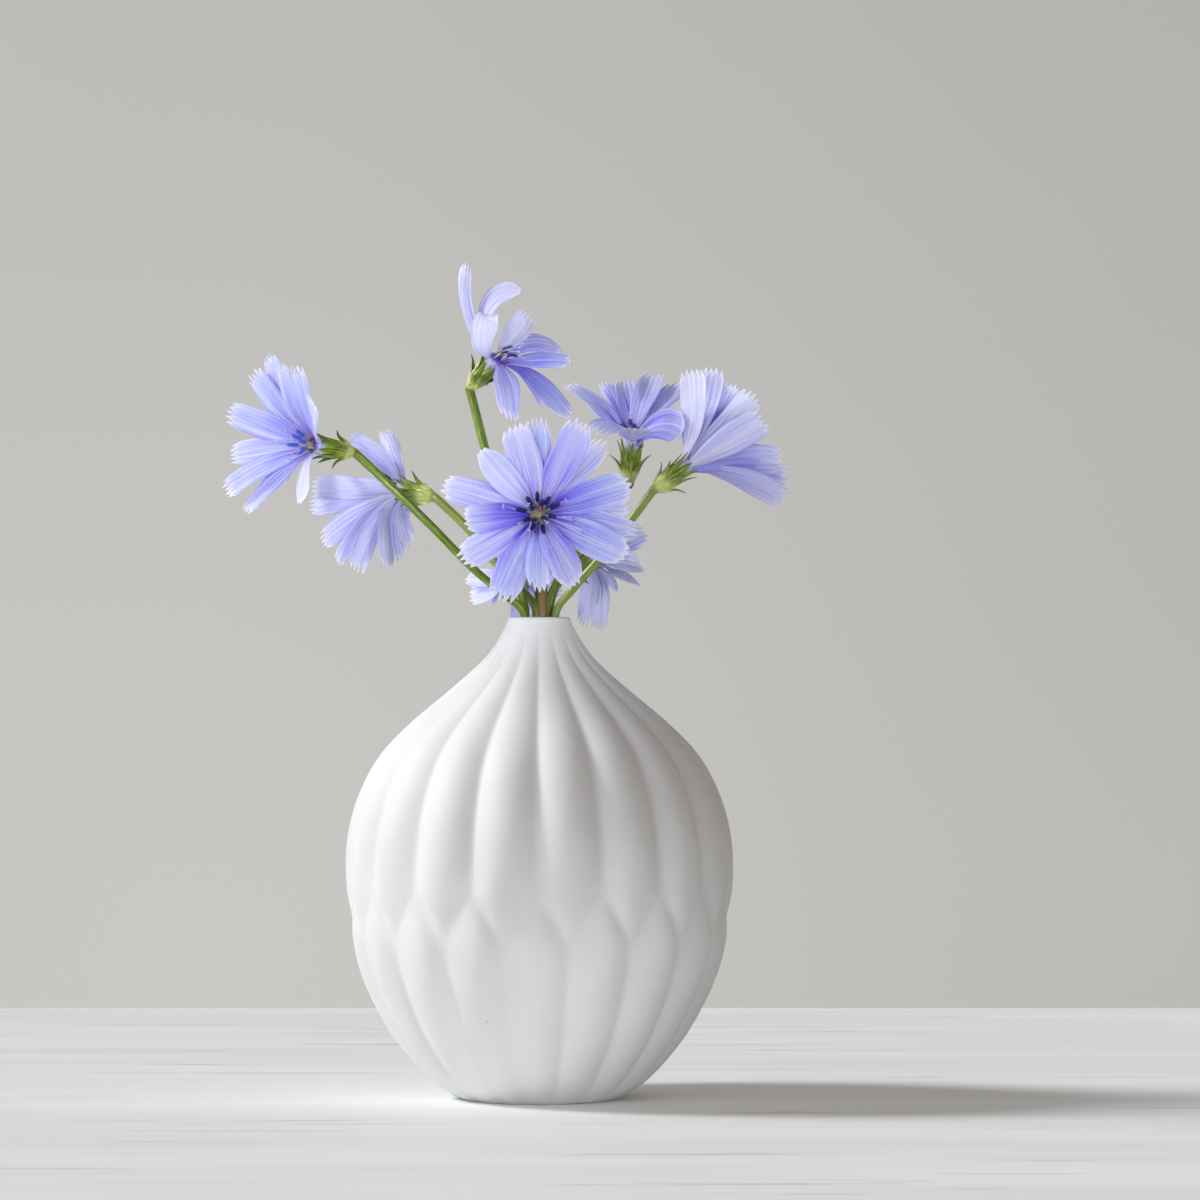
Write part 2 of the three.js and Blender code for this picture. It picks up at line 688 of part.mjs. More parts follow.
const group = new THREE.Group();
group.add(nodeOf("vase", vase(), "bisque"));
group.add(nodeOf("water", water(Object.values(BLOOMS).map(stemOf)), "water"));
for (const [name, bloom] of Object.entries(BLOOMS)) {
  group.add(nodeOf(`stem_${name}`, stemNode(bloom), "stem"));
  group.add(nodeOf(`florets_${name}`, floretsNode(bloom), "petal"));
  group.add(nodeOf(`anthers_${name}`, anthersNode(bloom), "anther"));
}

export default group;
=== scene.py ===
"""Eight cut chicory flowers standing in a small ribbed porcelain bud vase.

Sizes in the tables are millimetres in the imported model's frame: +Z up, the front towards -Y, the
origin at the centre of the vase's foot. Meshes are written in metres.
"""

import math

import bpy
import numpy as np
from bpy.props import FloatProperty, FloatVectorProperty, IntProperty, PointerProperty
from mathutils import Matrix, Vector


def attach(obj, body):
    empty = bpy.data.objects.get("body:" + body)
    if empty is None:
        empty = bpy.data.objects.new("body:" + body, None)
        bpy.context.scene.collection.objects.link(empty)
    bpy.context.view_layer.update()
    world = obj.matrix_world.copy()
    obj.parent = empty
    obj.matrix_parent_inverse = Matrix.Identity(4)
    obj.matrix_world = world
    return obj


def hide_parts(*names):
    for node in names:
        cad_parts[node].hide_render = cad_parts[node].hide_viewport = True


bl_info = {
    "name": "Chicory Flowers in a Bud Vase",
    "version": (1, 0, 0),
    "blender": (4, 5, 0),
    "location": "3D View > Sidebar > Chicory",
    "description": "Builds a ribbed bisque bud vase with eight chicory flowers round a packed frame",
    "category": "Add Mesh",
}

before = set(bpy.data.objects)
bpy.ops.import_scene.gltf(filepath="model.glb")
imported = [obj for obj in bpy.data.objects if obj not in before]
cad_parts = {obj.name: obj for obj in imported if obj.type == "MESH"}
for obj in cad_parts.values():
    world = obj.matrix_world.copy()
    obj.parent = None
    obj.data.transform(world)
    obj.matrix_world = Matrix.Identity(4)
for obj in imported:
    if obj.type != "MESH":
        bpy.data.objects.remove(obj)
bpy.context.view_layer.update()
MM = 0.001

# ---- measured sizes ------------------------------------------------------------------------

# Outline of the vase over the crests of its lobes: radius, height.
VASE_OUTLINE = [
    (16.4, 0), (21.7, 3.5), (28.9, 11.5), (33.7, 19.5), (37.1, 27.5), (38.9, 35.5),
    (39.4, 45.5), (38.1, 55.5), (35.2, 63.5), (31.4, 69.5), (25.4, 75.5), (18.1, 81.5),
    (11.4, 87.5), (8.3, 91.5), (6.4, 95), (6.1, 95.7), (5.5, 96.1),
]
# Rounded edge of the foot: height, how far the outline stands back.
FOOT_EDGE = [(0, 0.55), (0.25, 0.22), (0.7, 0.05), (1.3, 0)]
LIP_HEIGHT, VASE_TOP = 95.3, 96.1
# Stretches of rings up the outside: from, to, how many. They are closest where the creases fork.
OUTSIDE_RINGS = [(2, 28, 27), (28.6, 46, 36), (47, 86, 44), (86.8, 94.6, 13), (95, LIP_HEIGHT, 2)]
# Heights of the rings down the hollow. The last two draw in to round its bottom.
INSIDE_RINGS = [LIP_HEIGHT, 94, 92, *np.linspace(90, 6, 36), 4.2, 3.5]
BOTTOM_BEVEL, BOTTOM_CURVE = 0.8, 3
LIP_ROWS = 7
POINTS_PER_LOBE = 22
# Each crease forks at the first height, and the forks of two creases meet at the second.
FORK_HEIGHT, MEET_HEIGHT = 41.8, 32.2
# The creases fade out between these heights.
PLAIN_FROM, PLAIN_TO = 84, 94.5
# How fast a lobe flattens where it narrows to a fork.
NARROW_POWER = 0.6
WALL = 2.2
FLOOR = 3.2
MOUTH = 4.75

STEM_FOOT_HEIGHT = 3.7
NECK_HEIGHT = 88
# How many times farther from the middle a stem's foot stands than its place in the neck.
SPLAY = 3
STEM_SIDES, STRAIGHT_ROWS, BEND_ROWS = 24, 40, 90
HEAD_LENGTH = 10
# Outline of a green head: depth along its axis from the throat, radius.
HEAD_OUTLINE = np.array([
    (-9.8, 0.95), (-9.4, 1.05), (-8.9, 1.25), (-8.3, 1.5), (-7.6, 1.65), (-6.8, 1.65), (-5.9, 1.6),
    (-5.0, 1.55), (-4.2, 1.55), (-3.4, 1.6), (-2.4, 1.65), (-1.6, 1.55), (-1.2, 1.2),
])
# Pale swelling of a head: depth from the throat, strength.
HEAD_SWELLING = [(-9.8, 0.35), (-9, 0.9), (-7, 0.7), (-5, 0.4)]
# The red flush is strongest at this height and fades over this reach.
FLUSH_HEIGHT, FLUSH_REACH = 99, 7
BRACT_ROWS, BRACT_COLUMNS = 26, 11
# Whorls of bracts: how many, first angle, its scatter, width, thickness, and then how strong the
# pale base is, where it starts to fade and over what share of the bract.
INNER_WHORL = (8, 0.13, 0.06, 1.5, 0.4, (0.55, 0, 0.45))
OUTER_WHORL = (5, 0.35, 0.08, 1.8, 0.45, (1, 0.18, 0.4))

FLORET_ROOT_RADIUS = 1.35
FLORET_ROOT_DEPTHS = (0.7, 1.6)
TEETH = 5
BLADE_ROWS, BLADE_COLUMNS = 46, 31
RECEPTACLE_SIDES = 30
# Receptacle under the florets: height over the throat, radius, and how far it takes the deep colour
# of the throat with painted shade; at 0 it shows the pale underside colour.
RECEPTACLE = [
    (-3.4, 1.5, 0), (-2.4, 1.65, 0), (-1.2, 1.6, 0), (-0.4, 1.4, 0.6), (0, 1.1, 1), (0.18, 0.5, 1),
]

# An anther column from 0 to 1: the filament, the navy tube, the style and from 0.9 its arms.
FILAMENT_TO, TUBE_FROM = 0.34, 0.38
FULL_FROM, FULL_TO, TUBE_TO = 0.42, 0.62, 0.67
STYLE_FROM, ARMS_FROM = 0.71, 0.9
# Shares of a column below its tip, of the free style and of the arms.
COLUMN_SHARE, STYLE_SHARE, ARMS_SHARE = 0.7, 0.2, 0.1
COLUMN_SIDES, COLUMN_ROWS, MOUND_SIDES = 10, 34, 28
ARM_SIDES, ARM_ROWS = 8, 12
# Mound of the filaments' bases: height over the throat, radius.
FILAMENT_MOUND = [(0.1, 1.0), (0.5, 1.05), (0.8, 0.85), (1.0, 0.55), (1.05, 0.25)]

CAMERA_PLACE = (12.14, -1094, 99.5)
# The stage, in metres. The key light's angles are those of the way it shines.
TABLE_CORNERS = [(-2, -1.6, 0), (2, -1.6, 0), (2, 0.24, 0), (-2, 0.24, 0)]
WALL_CORNERS = [(-2.5, 1.65, -1), (2.5, 1.65, -1), (2.5, 1.65, 3), (-2.5, 1.65, 3)]
KEY_AZIMUTH, KEY_ELEVATION = math.radians(5), math.radians(38)
KEY_COLOUR = (0.985, 0.995, 1.0)
SOFT_FILL = dict(
    energy=5.8, aim=(0.95, 0.95, 0), place=(-0.95, -0.95, 0.1),
    shape="RECTANGLE", size=0.9, size_y=0.6,
)
WIDE_BEAM = dict(spot_size=math.radians(10), spot_blend=0.7)
THIN_BEAM = dict(spot_size=math.radians(5.5), spot_blend=1.0)
# Spots: the way they shine, their place and their beam.
SPOTS = {
    "back_spot": ((0.62, -0.2, -0.09), (-0.63, 0.2, 0.24), WIDE_BEAM),
    "front_spot": ((-0.35, 0.65, -0.01), (0.35, -0.66, 0.15), WIDE_BEAM),
    "low_spot": ((-0.44, 0.67, -0.04), (0.45, -0.70, 0.05), THIN_BEAM),
    "left_spot": ((0.16, 0.78, -0.053), (-0.199, -0.78, 0.165), THIN_BEAM),
    "right_spot": ((0.23, 0.79, -0.062), (-0.20, -0.78, 0.20), THIN_BEAM),
}
# Watts of the spots that have no setting of their own.
SPOT_WATTS = {"low_spot": 12, "left_spot": 28, "right_spot": 7}


def ray(x, y, z, width, **traits):
    """A floret: the place of its tip from the throat, its width and what sets it apart."""
    return dict(tip=(x, y, z), width=width, traits=traits)


# Each bloom has its throat, the way it faces, where its stem stands in the neck, the stem's bends,
# and how ruddy or young the stem is. Its anthers have how far they spread, their number, and where
# given how they lean, how thick the tubes and the mound are, and how far light tints them.
# What sets a blade apart: turn (degrees about its middle line), bow (sideways), tooth (length of
# the teeth), round (drop of the tip's corners), edge (how far the rims roll back), cup and fold
# (curve across), pale (-1 dark to 1 white: below 0 painted shade, above 0 the blade's own paleness
# with painted light), route (places from the throat that it passes) and side (the way across it).
# A bloom's "blades" holds what its blades share.
BLOOMS = {
    "front": dict(
        throat=(0.2, -25, 116.3), facing=(0, -0.995, 0.1), neck=(0.7, -3.1), ruddy=1,
        bends=[(0.8, -3.4, 97), (0.8, -4.6, 105), (0.5, -8, 111.5)],
        anthers=dict(spread=4.5, count=13, tube=1.15, mass=1.7),
        blades=dict(tooth=0.8, round=2, edge=0.45),
        rays=[
            ray(-4.7, -1, 17.5, 6.2, tooth=1, round=0.8, pale=0.25),
            ray(-0.4, 1, 19.2, 5, tooth=2.2, round=1, fold=25),
            ray(8.6, -0.5, 18.4, 6.2, tooth=2, round=0.9, fold=30),
            ray(13.4, 2, 14.6, 5, tooth=2.4, pale=0.35, fold=50),
            ray(18.2, -1, 5.9, 6.6, turn=-10, pale=-0.35, round=1.5),
            ray(18, 2.5, 1.6, 5.6, pale=0.6),
            ray(19.8, 1, -3.3, 5.4, turn=25, tooth=1.9, pale=0.2, fold=40),
            ray(17.6, -1.5, -8, 7, round=2.4, cup=0.6),
            ray(7.2, -5, -14.4, 5.8, turn=8, round=2.6, pale=-0.12),
            ray(0.2, -4, -15.4, 5.2, tooth=1.4, pale=0.3),
            ray(-8, 0, -17, 6.6, tooth=1.5, round=1.2, cup=0.6),
            ray(-15.6, -2, -9.2, 6, turn=-8, tooth=1.2, pale=0.2),
            ray(-14.6, -6, -1, 5.4, turn=12, pale=-0.55, round=0.9, tooth=0.7),
            ray(-19, 0, 5.7, 6.2, pale=0.2, round=1.6),
            ray(-11.5, -3, 12.5, 6, pale=0.45, round=3.6, tooth=0.5),
        ],
    ),
    "top": dict(
        throat=(-8.5, 0, 148.1), facing=(0.56, -0.56, 0.61), neck=(-2.7, 0.9),
        bends=[(-2.8, 0.7, 97), (-4.1, -0.1, 102), (-7.6, 1.2, 116), (-11, 3.2, 130)],
        anthers=dict(spread=1.4, count=5, lean=(1.2, 0, -1.6), tube=0.6, mass=0.3),
        blades=dict(edge=0.35),
        rays=[
            ray(15, -3, -12.4, 7, tooth=1.2, round=1.8, pale=-0.25),
            ray(15.2, -2, -1, 5, pale=-0.3, tooth=1), ray(9, 12, -9, 5),
            ray(13, 6, 1.4, 5, route=[(4, 2, 3.2), (9, 4, 4.4)], pale=-0.2, tooth=1),
            ray(6.6, 8, 9.2, 5, tooth=2.9, fold=40, pale=0.8),
            ray(5.4, 1, 13.4, 5,
                route=[(-4.5, 3, 5), (-3.2, 3, 14)], side=(0.55, -0.7, -0.4), tooth=0.6, pale=0,
                round=2.4),
            ray(-6.2, 4, 19.4, 4,
                route=[(-3.8, 4, 3.4), (-8.8, 5, 10)], side=(0.62, -0.78, 0), fold=55, pale=-0.3,
                tooth=1.6),
            ray(0, -5, 8.2, 5.4,
                route=[(-3, -6, 0.5), (-3.2, -9.5, 8.4)], side=(1, 0.1, 0.1), tooth=0.2, round=5.2,
                edge=0.6, pale=0.6),
            ray(3, -7, -13.2, 6.4, tooth=1.6),
        ],
    ),
    "far_left": dict(
        throat=(-44.9, -10, 130.2), facing=(-0.8, -0.58, 0.12), neck=(-3, -1.85),
        bends=[(-3, -1.9, 96.6), (-7.5, -3.6, 101), (-13.4, -5, 106), (-21.4, -6.2, 114.2),
               (-30, -5.8, 122.6)],
        anthers=dict(spread=2.8, count=6, tint=0.8), blades=dict(tooth=1.7, edge=0.25, pale=0.22),
        rays=[
            ray(-1.2, -9, -11.5, 5, pale=0.5, tooth=0.9), ray(0.6, -12, 9, 5.4, bow=-2, pale=0.55),
            ray(-3, -8, 15.5, 7, bow=-3.4), ray(-6, -4, 16.4, 6), ray(-9, 4, 18, 5),
            ray(-12.3, 5, 14.7, 5.5), ray(-6, 15, 8, 5), ray(-17.2, 6, 7, 5.5),
            ray(-16.8, 7, -1.8, 5), ray(-7, 15, -6, 5), ray(-17.8, 4, -9.1, 5),
            ray(-13.9, 2, -13.3, 4.5),
        ],
    ),
    "left": dict(
        throat=(-28.7, 7, 121.8), facing=(-0.77, 0.6, 0.17), neck=(-0.6, 1.4), young=0.35,
        bends=[(-0.6, 1.6, 97), (-3.6, 2.6, 101.6), (-9.7, 2.7, 108), (-14.5, 2, 114)],
        anthers=dict(spread=2.8, count=12), blades=dict(tooth=1.7, edge=0.25, pale=0.12),
        rays=[
            ray(-1.8, -6, -16, 5), ray(-8.3, -5, -16.4, 6), ray(-12, -3, -15.2, 5),
            ray(-15, -5, -10.9, 5.5), ray(-17.5, -4, -3.6, 5), ray(-17, -6, 0.4, 5),
            ray(-10.5, 4, 10, 4.4,
                route=[(-1.5, 1, 5), (-6, 2.5, 9)], side=(0.7, 0, 0.7), pale=-0.2),
            ray(-3.4, 9, 12.4, 3.4,
                route=[(-0.2, 2.5, 5), (-1.4, 6, 9)], side=(0.9, 0, 0.35), tooth=3.2, fold=60),
            ray(-6.5, 13, 5.5, 5), ray(3, 14, -4, 5), ray(2.4, 6, -11.9, 4.5),
            ray(0.4, 6, -14.5, 4.5),
        ],
    ),
    "right": dict(
        throat=(18.6, 10, 132.6), facing=(0.05, -0.25, 0.95), neck=(1.6, 0.4),
        bends=[(1.9, 0.5, 97), (4.5, 2, 105), (11, 6.5, 113.5)],
        anthers=dict(spread=2.8, count=7, lean=(0, 1.2, -1.7), tint=0.25),
        blades=dict(tooth=2.2, edge=0.25),
        rays=[
            ray(0.6, -12.5, 1.4, 6.4,
                route=[(0.2, -4, -0.4), (0.4, -9, 0.6)], side=(1, 0, 0), pale=-0.3, tooth=1, cup=0.4),
            ray(10, -11, 0.6, 6.6,
                route=[(3, -3, 2.6), (8, -8, 3.2)], side=(-0.15, 0.35, 0.93), tooth=0.4, round=2.6,
                pale=-0.15),
            ray(12, 9, 4.5, 5), ray(10.1, 10, 11.3, 6, pale=0.2, round=2),
            ray(5, 12, 13.1, 5.4, fold=45, pale=0.4), ray(-1.4, 14, 11.7, 5, fold=35, pale=0.3),
            ray(-5.4, 13, 11.3, 4.4, pale=-0.2), ray(-8, 13, 7, 5),
            ray(-13.2, 4, 10.6, 6.4, tooth=2.8, pale=0.1),
            ray(-7.4, -12, 0, 5.6,
                route=[(-1.6, -4, 2.4), (-5, -9, 3.6)], side=(0.8, -0.4, -0.45), pale=0.3),
        ],
    ),
    "far_right": dict(
        throat=(30.3, 0, 126.9), facing=(0.75, 0.35, 0.55), neck=(3.2, -1.2), young=0.2,
        bends=[(3.3, -1.25, 96.8), (6.6, -1.9, 101.5), (12.1, -2.7, 107.8), (18, -3.6, 115)],
        anthers=dict(spread=2.6, count=11), blades=dict(tooth=1.7, edge=0.25),
        rays=[
            ray(11, 14, 2, 6), ray(8, 15, 8, 6), ray(-1.5, 13, 9, 4),
            ray(8.6, 5, 16.4, 6, turn=45, pale=-0.5), ray(4.2, 3, 19.4, 6.4, turn=45, pale=0.2),
            ray(0.2, -1, 18.8, 6.4, turn=40, pale=0.5), ray(13, -3, 13.8, 6, pale=0.15, fold=30),
            ray(15, -6, 8.6, 6.2, pale=0.1), ray(18.8, 0, 0.6, 6.4, turn=-40, pale=-0.45),
            ray(19.4, 2, -3.4, 6.2, turn=-45, pale=-0.6),
            ray(19.4, 1, -7.8, 6, turn=-45, pale=-0.4),
        ],
    ),
    "low_right": dict(
        throat=(10.9, 12.2, 108.1), facing=(0.62, 0.68, 0.38), neck=(1.4, 2.9), ruddy=0.5,
        bends=[(1.5, 3.1, 97), (2.6, 3.8, 101)], anthers=dict(spread=2.6, count=9),
        blades=dict(tooth=1.5, edge=0.3, pale=-0.05),
        rays=[
            ray(8.5, 13, -5.5, 5), ray(-2.2, 4, -14, 5.5), ray(3.6, 14, -6.3, 5),
            ray(-3, 14, 4.5, 5), ray(-6.1, 7.9, 11.4, 5), ray(-3, 2, 14.5, 5),
            ray(10.5, -10, 5.3, 5), ray(9.9, -12, -1.8, 4.5), ray(1.2, 1, -14.8, 4.5),
        ],
    ),
    "low_left": dict(
        throat=(-5, 15, 103.6), facing=(-0.15, 0.9, -0.4), neck=(-0.85, 3.4), ruddy=0.3,
        bends=[(-0.8, 3.6, 96.5), (-0.3, 4.1, 100.5), (-1.1, 2.3, 104.6), (-2.6, 2.6, 107.6)],
        anthers=dict(spread=1.6, count=10), blades=dict(tooth=1.2, edge=0.3),
        rays=[
            ray(-9.5, 8, -3.5, 5), ray(-5.5, 10, -3.8, 5), ray(-10.2, 9, 0.8, 4.5),
            ray(-6, 8, 8.5, 5), ray(-1, 8, 11, 5), ray(4, 9, 9, 5), ray(7.5, 9, 5.5, 5),
            ray(9.5, 10, -1.5, 5), ray(6, 10, -6, 5), ray(1, 9, -8.5, 5),
        ],
    ),
}

# ---- settings ------------------------------------------------------------------------------


def length(name, description, millimetres):
    """A size property in metres, given in millimetres."""
    return FloatProperty(
        name=name, description=description, default=millimetres * MM, min=0, unit="LENGTH",
        precision=5,
    )


def share(name, description, value):
    """A property between 0 and 1."""
    return FloatProperty(
        name=name, description=description, default=value, min=0, max=1, subtype="FACTOR"
    )


def strength(name, description, value):
    """The strength of a lamp."""
    return FloatProperty(name=name, description=description, default=value, min=0)


def colour(name, description, value):
    """A linear colour property."""
    return FloatVectorProperty(
        name=name, description=description, default=value, size=3, min=0, max=1, subtype="COLOR"
    )


class VaseSettings(bpy.types.PropertyGroup):
    """Relief and finish of the bud vase."""

    lobes: IntProperty(
        name="Lobes", description="Lobes in each of the two tiers", default=18, min=3, max=60
    )
    relief: share("Relief", "Depth of a crease, as a share of the radius", 0.056)
    softness: share("Softness", "Rounding at the bottom of a crease", 0.17)
    bisque: colour("Bisque", "Unglazed porcelain", (0.73, 0.74, 0.745))
    roughness: share("Roughness", "Roughness of the bisque", 0.62)
    water: colour("Water", "Colour of the water", (0.9, 0.96, 0.97))


class StemSettings(bpy.types.PropertyGroup):
    """Stems and the green heads under the florets."""

    foot_radius: length("Foot radius", "Radius of a stem at its cut end", 0.95)
    neck_radius: length("Neck radius", "Radius of a stem in the neck of the vase", 0.76)
    top_radius: length("Top radius", "Radius of a stem below its head", 0.86)
    ridge: share("Ridges", "Depth of the fine ridges, as a share of the radius", 0.05)
    green: colour("Green", "Stem green", (0.10, 0.165, 0.004))
    pale: colour("Pale green", "Swollen bases and young tissue", (0.55, 0.61, 0.19))
    ruddy: colour("Red-brown", "Flush on the oldest stems", (0.20, 0.062, 0.02))
    tip: colour("Bract tips", "Dry tips of the bracts", (0.10, 0.075, 0.02))


class FloretSettings(bpy.types.PropertyGroup):
    """Strap-shaped florets."""

    thickness: length("Thickness", "Thickness in the middle of a blade", 0.22)
    pleat: length("Pleats", "Height of the lengthwise pleats", 0.13)
    tooth: length("Teeth", "Length of the five teeth at the tip", 1.7)
    blue: colour("Blue", "Middle of the upper face", (0.37, 0.42, 0.88))
    deep: colour("Deep blue", "Throat and the dark streaks", (0.095, 0.045, 0.64))
    light: colour("Light blue", "Light ribbons and the tips", (0.70, 0.75, 0.95))
    back: colour("Underside", "Underside of a blade", (0.80, 0.82, 1.0))
    translucency: share("Translucency", "Share of light that passes through a blade", 0.42)


class AntherSettings(bpy.types.PropertyGroup):
    """Anther tubes and the forked styles that grow through them."""

    tube_radius: length("Tube radius", "Radius of an anther tube", 0.4)
    style_radius: length("Style radius", "Radius of a style", 0.1)
    tube: colour("Tube", "Anther tube", (0.007, 0.008, 0.075))
    lit: colour("Lit tube", "Anther tube of a bloom with the light behind it", (0.06, 0.12, 0.60))
    filament: colour("Filament", "Stalk under the tube", (0.34, 0.33, 0.26))
    mass: colour("Mass", "Crowded bases of the filaments", (0.17, 0.155, 0.10))
    style: colour("Style", "Forked style", (0.34, 0.32, 0.62))


class StageSettings(bpy.types.PropertyGroup):
    """Table, wall, lamps and camera. None of it is part of the object."""

    table: colour("Table", "Pale table top", (0.925, 0.93, 0.93))
    # The wall colour is the colour of its glow, which is painted light.
    wall: colour("Wall", "Gray wall behind the table", (0.55, 0.545, 0.53))
    key: strength("Key light", "Strength of the low sun from the left", 2.4)
    key_size: FloatProperty(
        name="Key size", description="Angle that the key light fills",
        default=math.radians(14), min=0, subtype="ANGLE",
    )
    back_spot: strength("Back spot", "Watts of the spot on the blooms from behind on the left", 9.5)
    front_spot: strength("Front spot", "Watts of the spot on the blooms from the front", 10.0)
    focal_length: FloatProperty(
        name="Focal length", description="Lens in millimetres on a 36 mm sensor", default=164.1,
        min=1,
    )


SETTINGS = {
    "bud_vase": VaseSettings,
    "chicory_stems": StemSettings,
    "chicory_florets": FloretSettings,
    "chicory_anthers": AntherSettings,
    "chicory_stage": StageSettings,
}

# ---- meshes --------------------------------------------------------------------------------


def unit(vectors):
    """Vectors of length one along the last axis."""
    vectors = np.asarray(vectors, float)
    return vectors / np.maximum(np.linalg.norm(vectors, axis=-1, keepdims=True), 1e-12)


def grid_faces(rows, columns):
    """Quads between the points of a grid stored row by row, its columns closed into a ring."""
    r, c = np.meshgrid(np.arange(rows - 1), np.arange(columns), indexing="ij")
    a, b = r * columns + c, r * columns + (c + 1) % columns
    return np.stack([a, b, b + columns, a + columns], -1).reshape(-1, 4)


def face_volume(points, faces):
    """Six times the volume enclosed by faces of any number of corners, by a fan from each first."""
    first = points[faces[:, 0]]
    total = 0.0
    for k in range(1, faces.shape[1] - 1):
        cross = np.cross(points[faces[:, k]], points[faces[:, k + 1]])
        total += float((first * cross).sum())
    return total


class Skin:
    """Gathers closed surfaces into the arrays of one mesh: points, quads, triangles, values."""

    def __init__(self, *values):
        self.count = 0
        self.points = []
        self.quads = []
        self.triangles = []
        self.values = {name: [] for name in values}

    def add(self, points, quads, triangles, **values):
        """One closed surface, turned so that its faces point outwards."""
        points = np.asarray(points, float).reshape(-1, 3)
        quads = np.asarray(quads, int).reshape(-1, 4)
        triangles = np.asarray(triangles, int).reshape(-1, 3)
        if face_volume(points, quads) + face_volume(points, triangles) < 0:
            quads, triangles = quads[:, ::-1], triangles[:, ::-1]
        self.points.append(points)
        self.quads.append(quads + self.count)
        self.triangles.append(triangles + self.count)
        for name, store in self.values.items():
            value = np.asarray(values[name], float)
            store.append(np.broadcast_to(value.reshape(-1), len(points)))
        self.count += len(points)

    def tube(self, rings, **values):
        """Closed surface over rings of points (rows, columns, 3) with a fan on each end."""
        rows, columns = rings.shape[:2]
        points = np.concatenate([
            rings.reshape(-1, 3), rings[:1].mean(1), rings[-1:].mean(1),
        ])
        ring = np.arange(columns)
        nxt, last = np.roll(ring, -1), (rows - 1) * columns
        foot, head = rows * columns, rows * columns + 1
        triangles = np.concatenate([
            np.stack([nxt, ring, np.full(columns, foot)], -1),
            np.stack([last + ring, last + nxt, np.full(columns, head)], -1),
        ])
        full = {}
        for name, value in values.items():
            value = np.broadcast_to(np.asarray(value, float), (rows, columns))
            full[name] = np.concatenate([value.reshape(-1), value[0, :1], value[-1, :1]])
        self.add(points, grid_faces(rows, columns), triangles, **full)

    def shell(self, upper, lower, **values):
        """Closed thin blade between two grids (rows, columns, 3) that share their rim."""
        rows, columns = upper.shape[:2]
        ring = np.concatenate([upper, lower[:, ::-1]], 1)
        quads = [grid_faces(rows, 2 * columns)]
        column = np.arange(columns - 1)
        across = 2 * columns - 1 - column
        last = (rows - 1) * 2 * columns
        quads.append(np.stack([column + 1, column, across, across - 1], -1))
        quads.append(last + np.stack([column, column + 1, across - 1, across], -1))
        full = {}
        for name, value in values.items():
            over, under = value if isinstance(value, tuple) else (value, value)
            over = np.broadcast_to(np.asarray(over, float), (rows, columns))
            under = np.broadcast_to(np.asarray(under, float), (rows, columns))
            full[name] = np.concatenate([over, under[:, ::-1]], 1)
        self.add(ring, np.concatenate(quads), [], **full)

    def object(self, name, material):
        """The gathered surfaces as a smooth mesh object at the origin, in metres."""
        points = np.concatenate(self.points) * MM
        quads, triangles = np.concatenate(self.quads), np.concatenate(self.triangles)
        corners = np.concatenate([quads.reshape(-1), triangles.reshape(-1)])
        starts = np.concatenate([
            4 * np.arange(len(quads)), 4 * len(quads) + 3 * np.arange(len(triangles)),
        ])
        mesh = bpy.data.meshes.new(name)
        mesh.vertices.add(len(points))
        mesh.vertices.foreach_set("co", points.astype(np.float32).reshape(-1))
        mesh.loops.add(len(corners))
        mesh.loops.foreach_set("vertex_index", corners.astype(np.int32))
        mesh.polygons.add(len(starts))
        mesh.polygons.foreach_set("loop_start", starts.astype(np.int32))
        mesh.update(calc_edges=True)
        values = {key: np.concatenate(store) for key, store in self.values.items()}
        if "u" in values:
            pair = np.stack([values.pop("u"), values.pop("v")], -1)[corners]
            layer = mesh.uv_layers.new(name="blade")
            layer.data.foreach_set("uv", pair.astype(np.float32).reshape(-1))
        for key, value in values.items():
            layer = mesh.attributes.new(key, "FLOAT", "POINT")
            layer.data.foreach_set("value", value.astype(np.float32))
        if mesh.validate():
            raise RuntimeError(f"{name} has faces that are not sound")
        mesh.shade_smooth()
        mesh.materials.append(material)
        piece = bpy.data.objects.new(name, mesh)
        bpy.context.scene.collection.objects.link(piece)
        return piece


def smoothstep(value):
    """Ease from 0 to 1 of a value clipped to that range."""
    value = np.clip(value, 0, 1)
    return value * value * (3 - 2 * value)


def bezier(controls, t):
    """Points of a Bezier curve of any degree: the sum of its Bernstein weights times controls."""
    controls = np.asarray(controls, float)
    n = len(controls) - 1
    k = np.arange(n + 1)
    choose = np.array([math.comb(n, i) for i in k])
    weights = choose * t[:, None] ** k * (1 - t[:, None]) ** (n - k)
    return weights @ controls


def catmull_rom(places, t):
    """Uniform Catmull-Rom curve through places, its ends carried on in a straight line."""
    places = np.asarray(places, float)
    first, last = 2 * places[0] - places[1], 2 * places[-1] - places[-2]
    p = np.vstack([first, places, last])
    at = t * (len(places) - 1)
    i = np.minimum(at.astype(int), len(places) - 2)
    f = (at - i)[:, None]
    a, b, c, d = p[i], p[i + 1], p[i + 2], p[i + 3]
    return b + 0.5 * f * (c - a + f * (2 * a - 5 * b + 4 * c - d + f * (3 * (b - c) + d - a)))


def circle(sides):
    """Angles evenly round a full turn."""
    return np.linspace(0, 2 * np.pi, sides, endpoint=False)


def swept(path, reference, radii, sides, ridge=0.0):
    """Rings round a path: centre + radius * (1 + ridge cos 8a) * (cos a, sin a) across it."""
    tangent = unit(np.gradient(path, axis=0))
    first = unit(reference - (tangent @ reference)[:, None] * tangent)
    second = np.cross(tangent, first)
    angle = circle(sides)
    reach = np.asarray(radii)[:, None] * (1 + ridge * np.cos(8 * angle))
    return (
        path[:, None]
        + (reach * np.cos(angle))[..., None] * first[:, None]
        + (reach * np.sin(angle))[..., None] * second[:, None]
    )


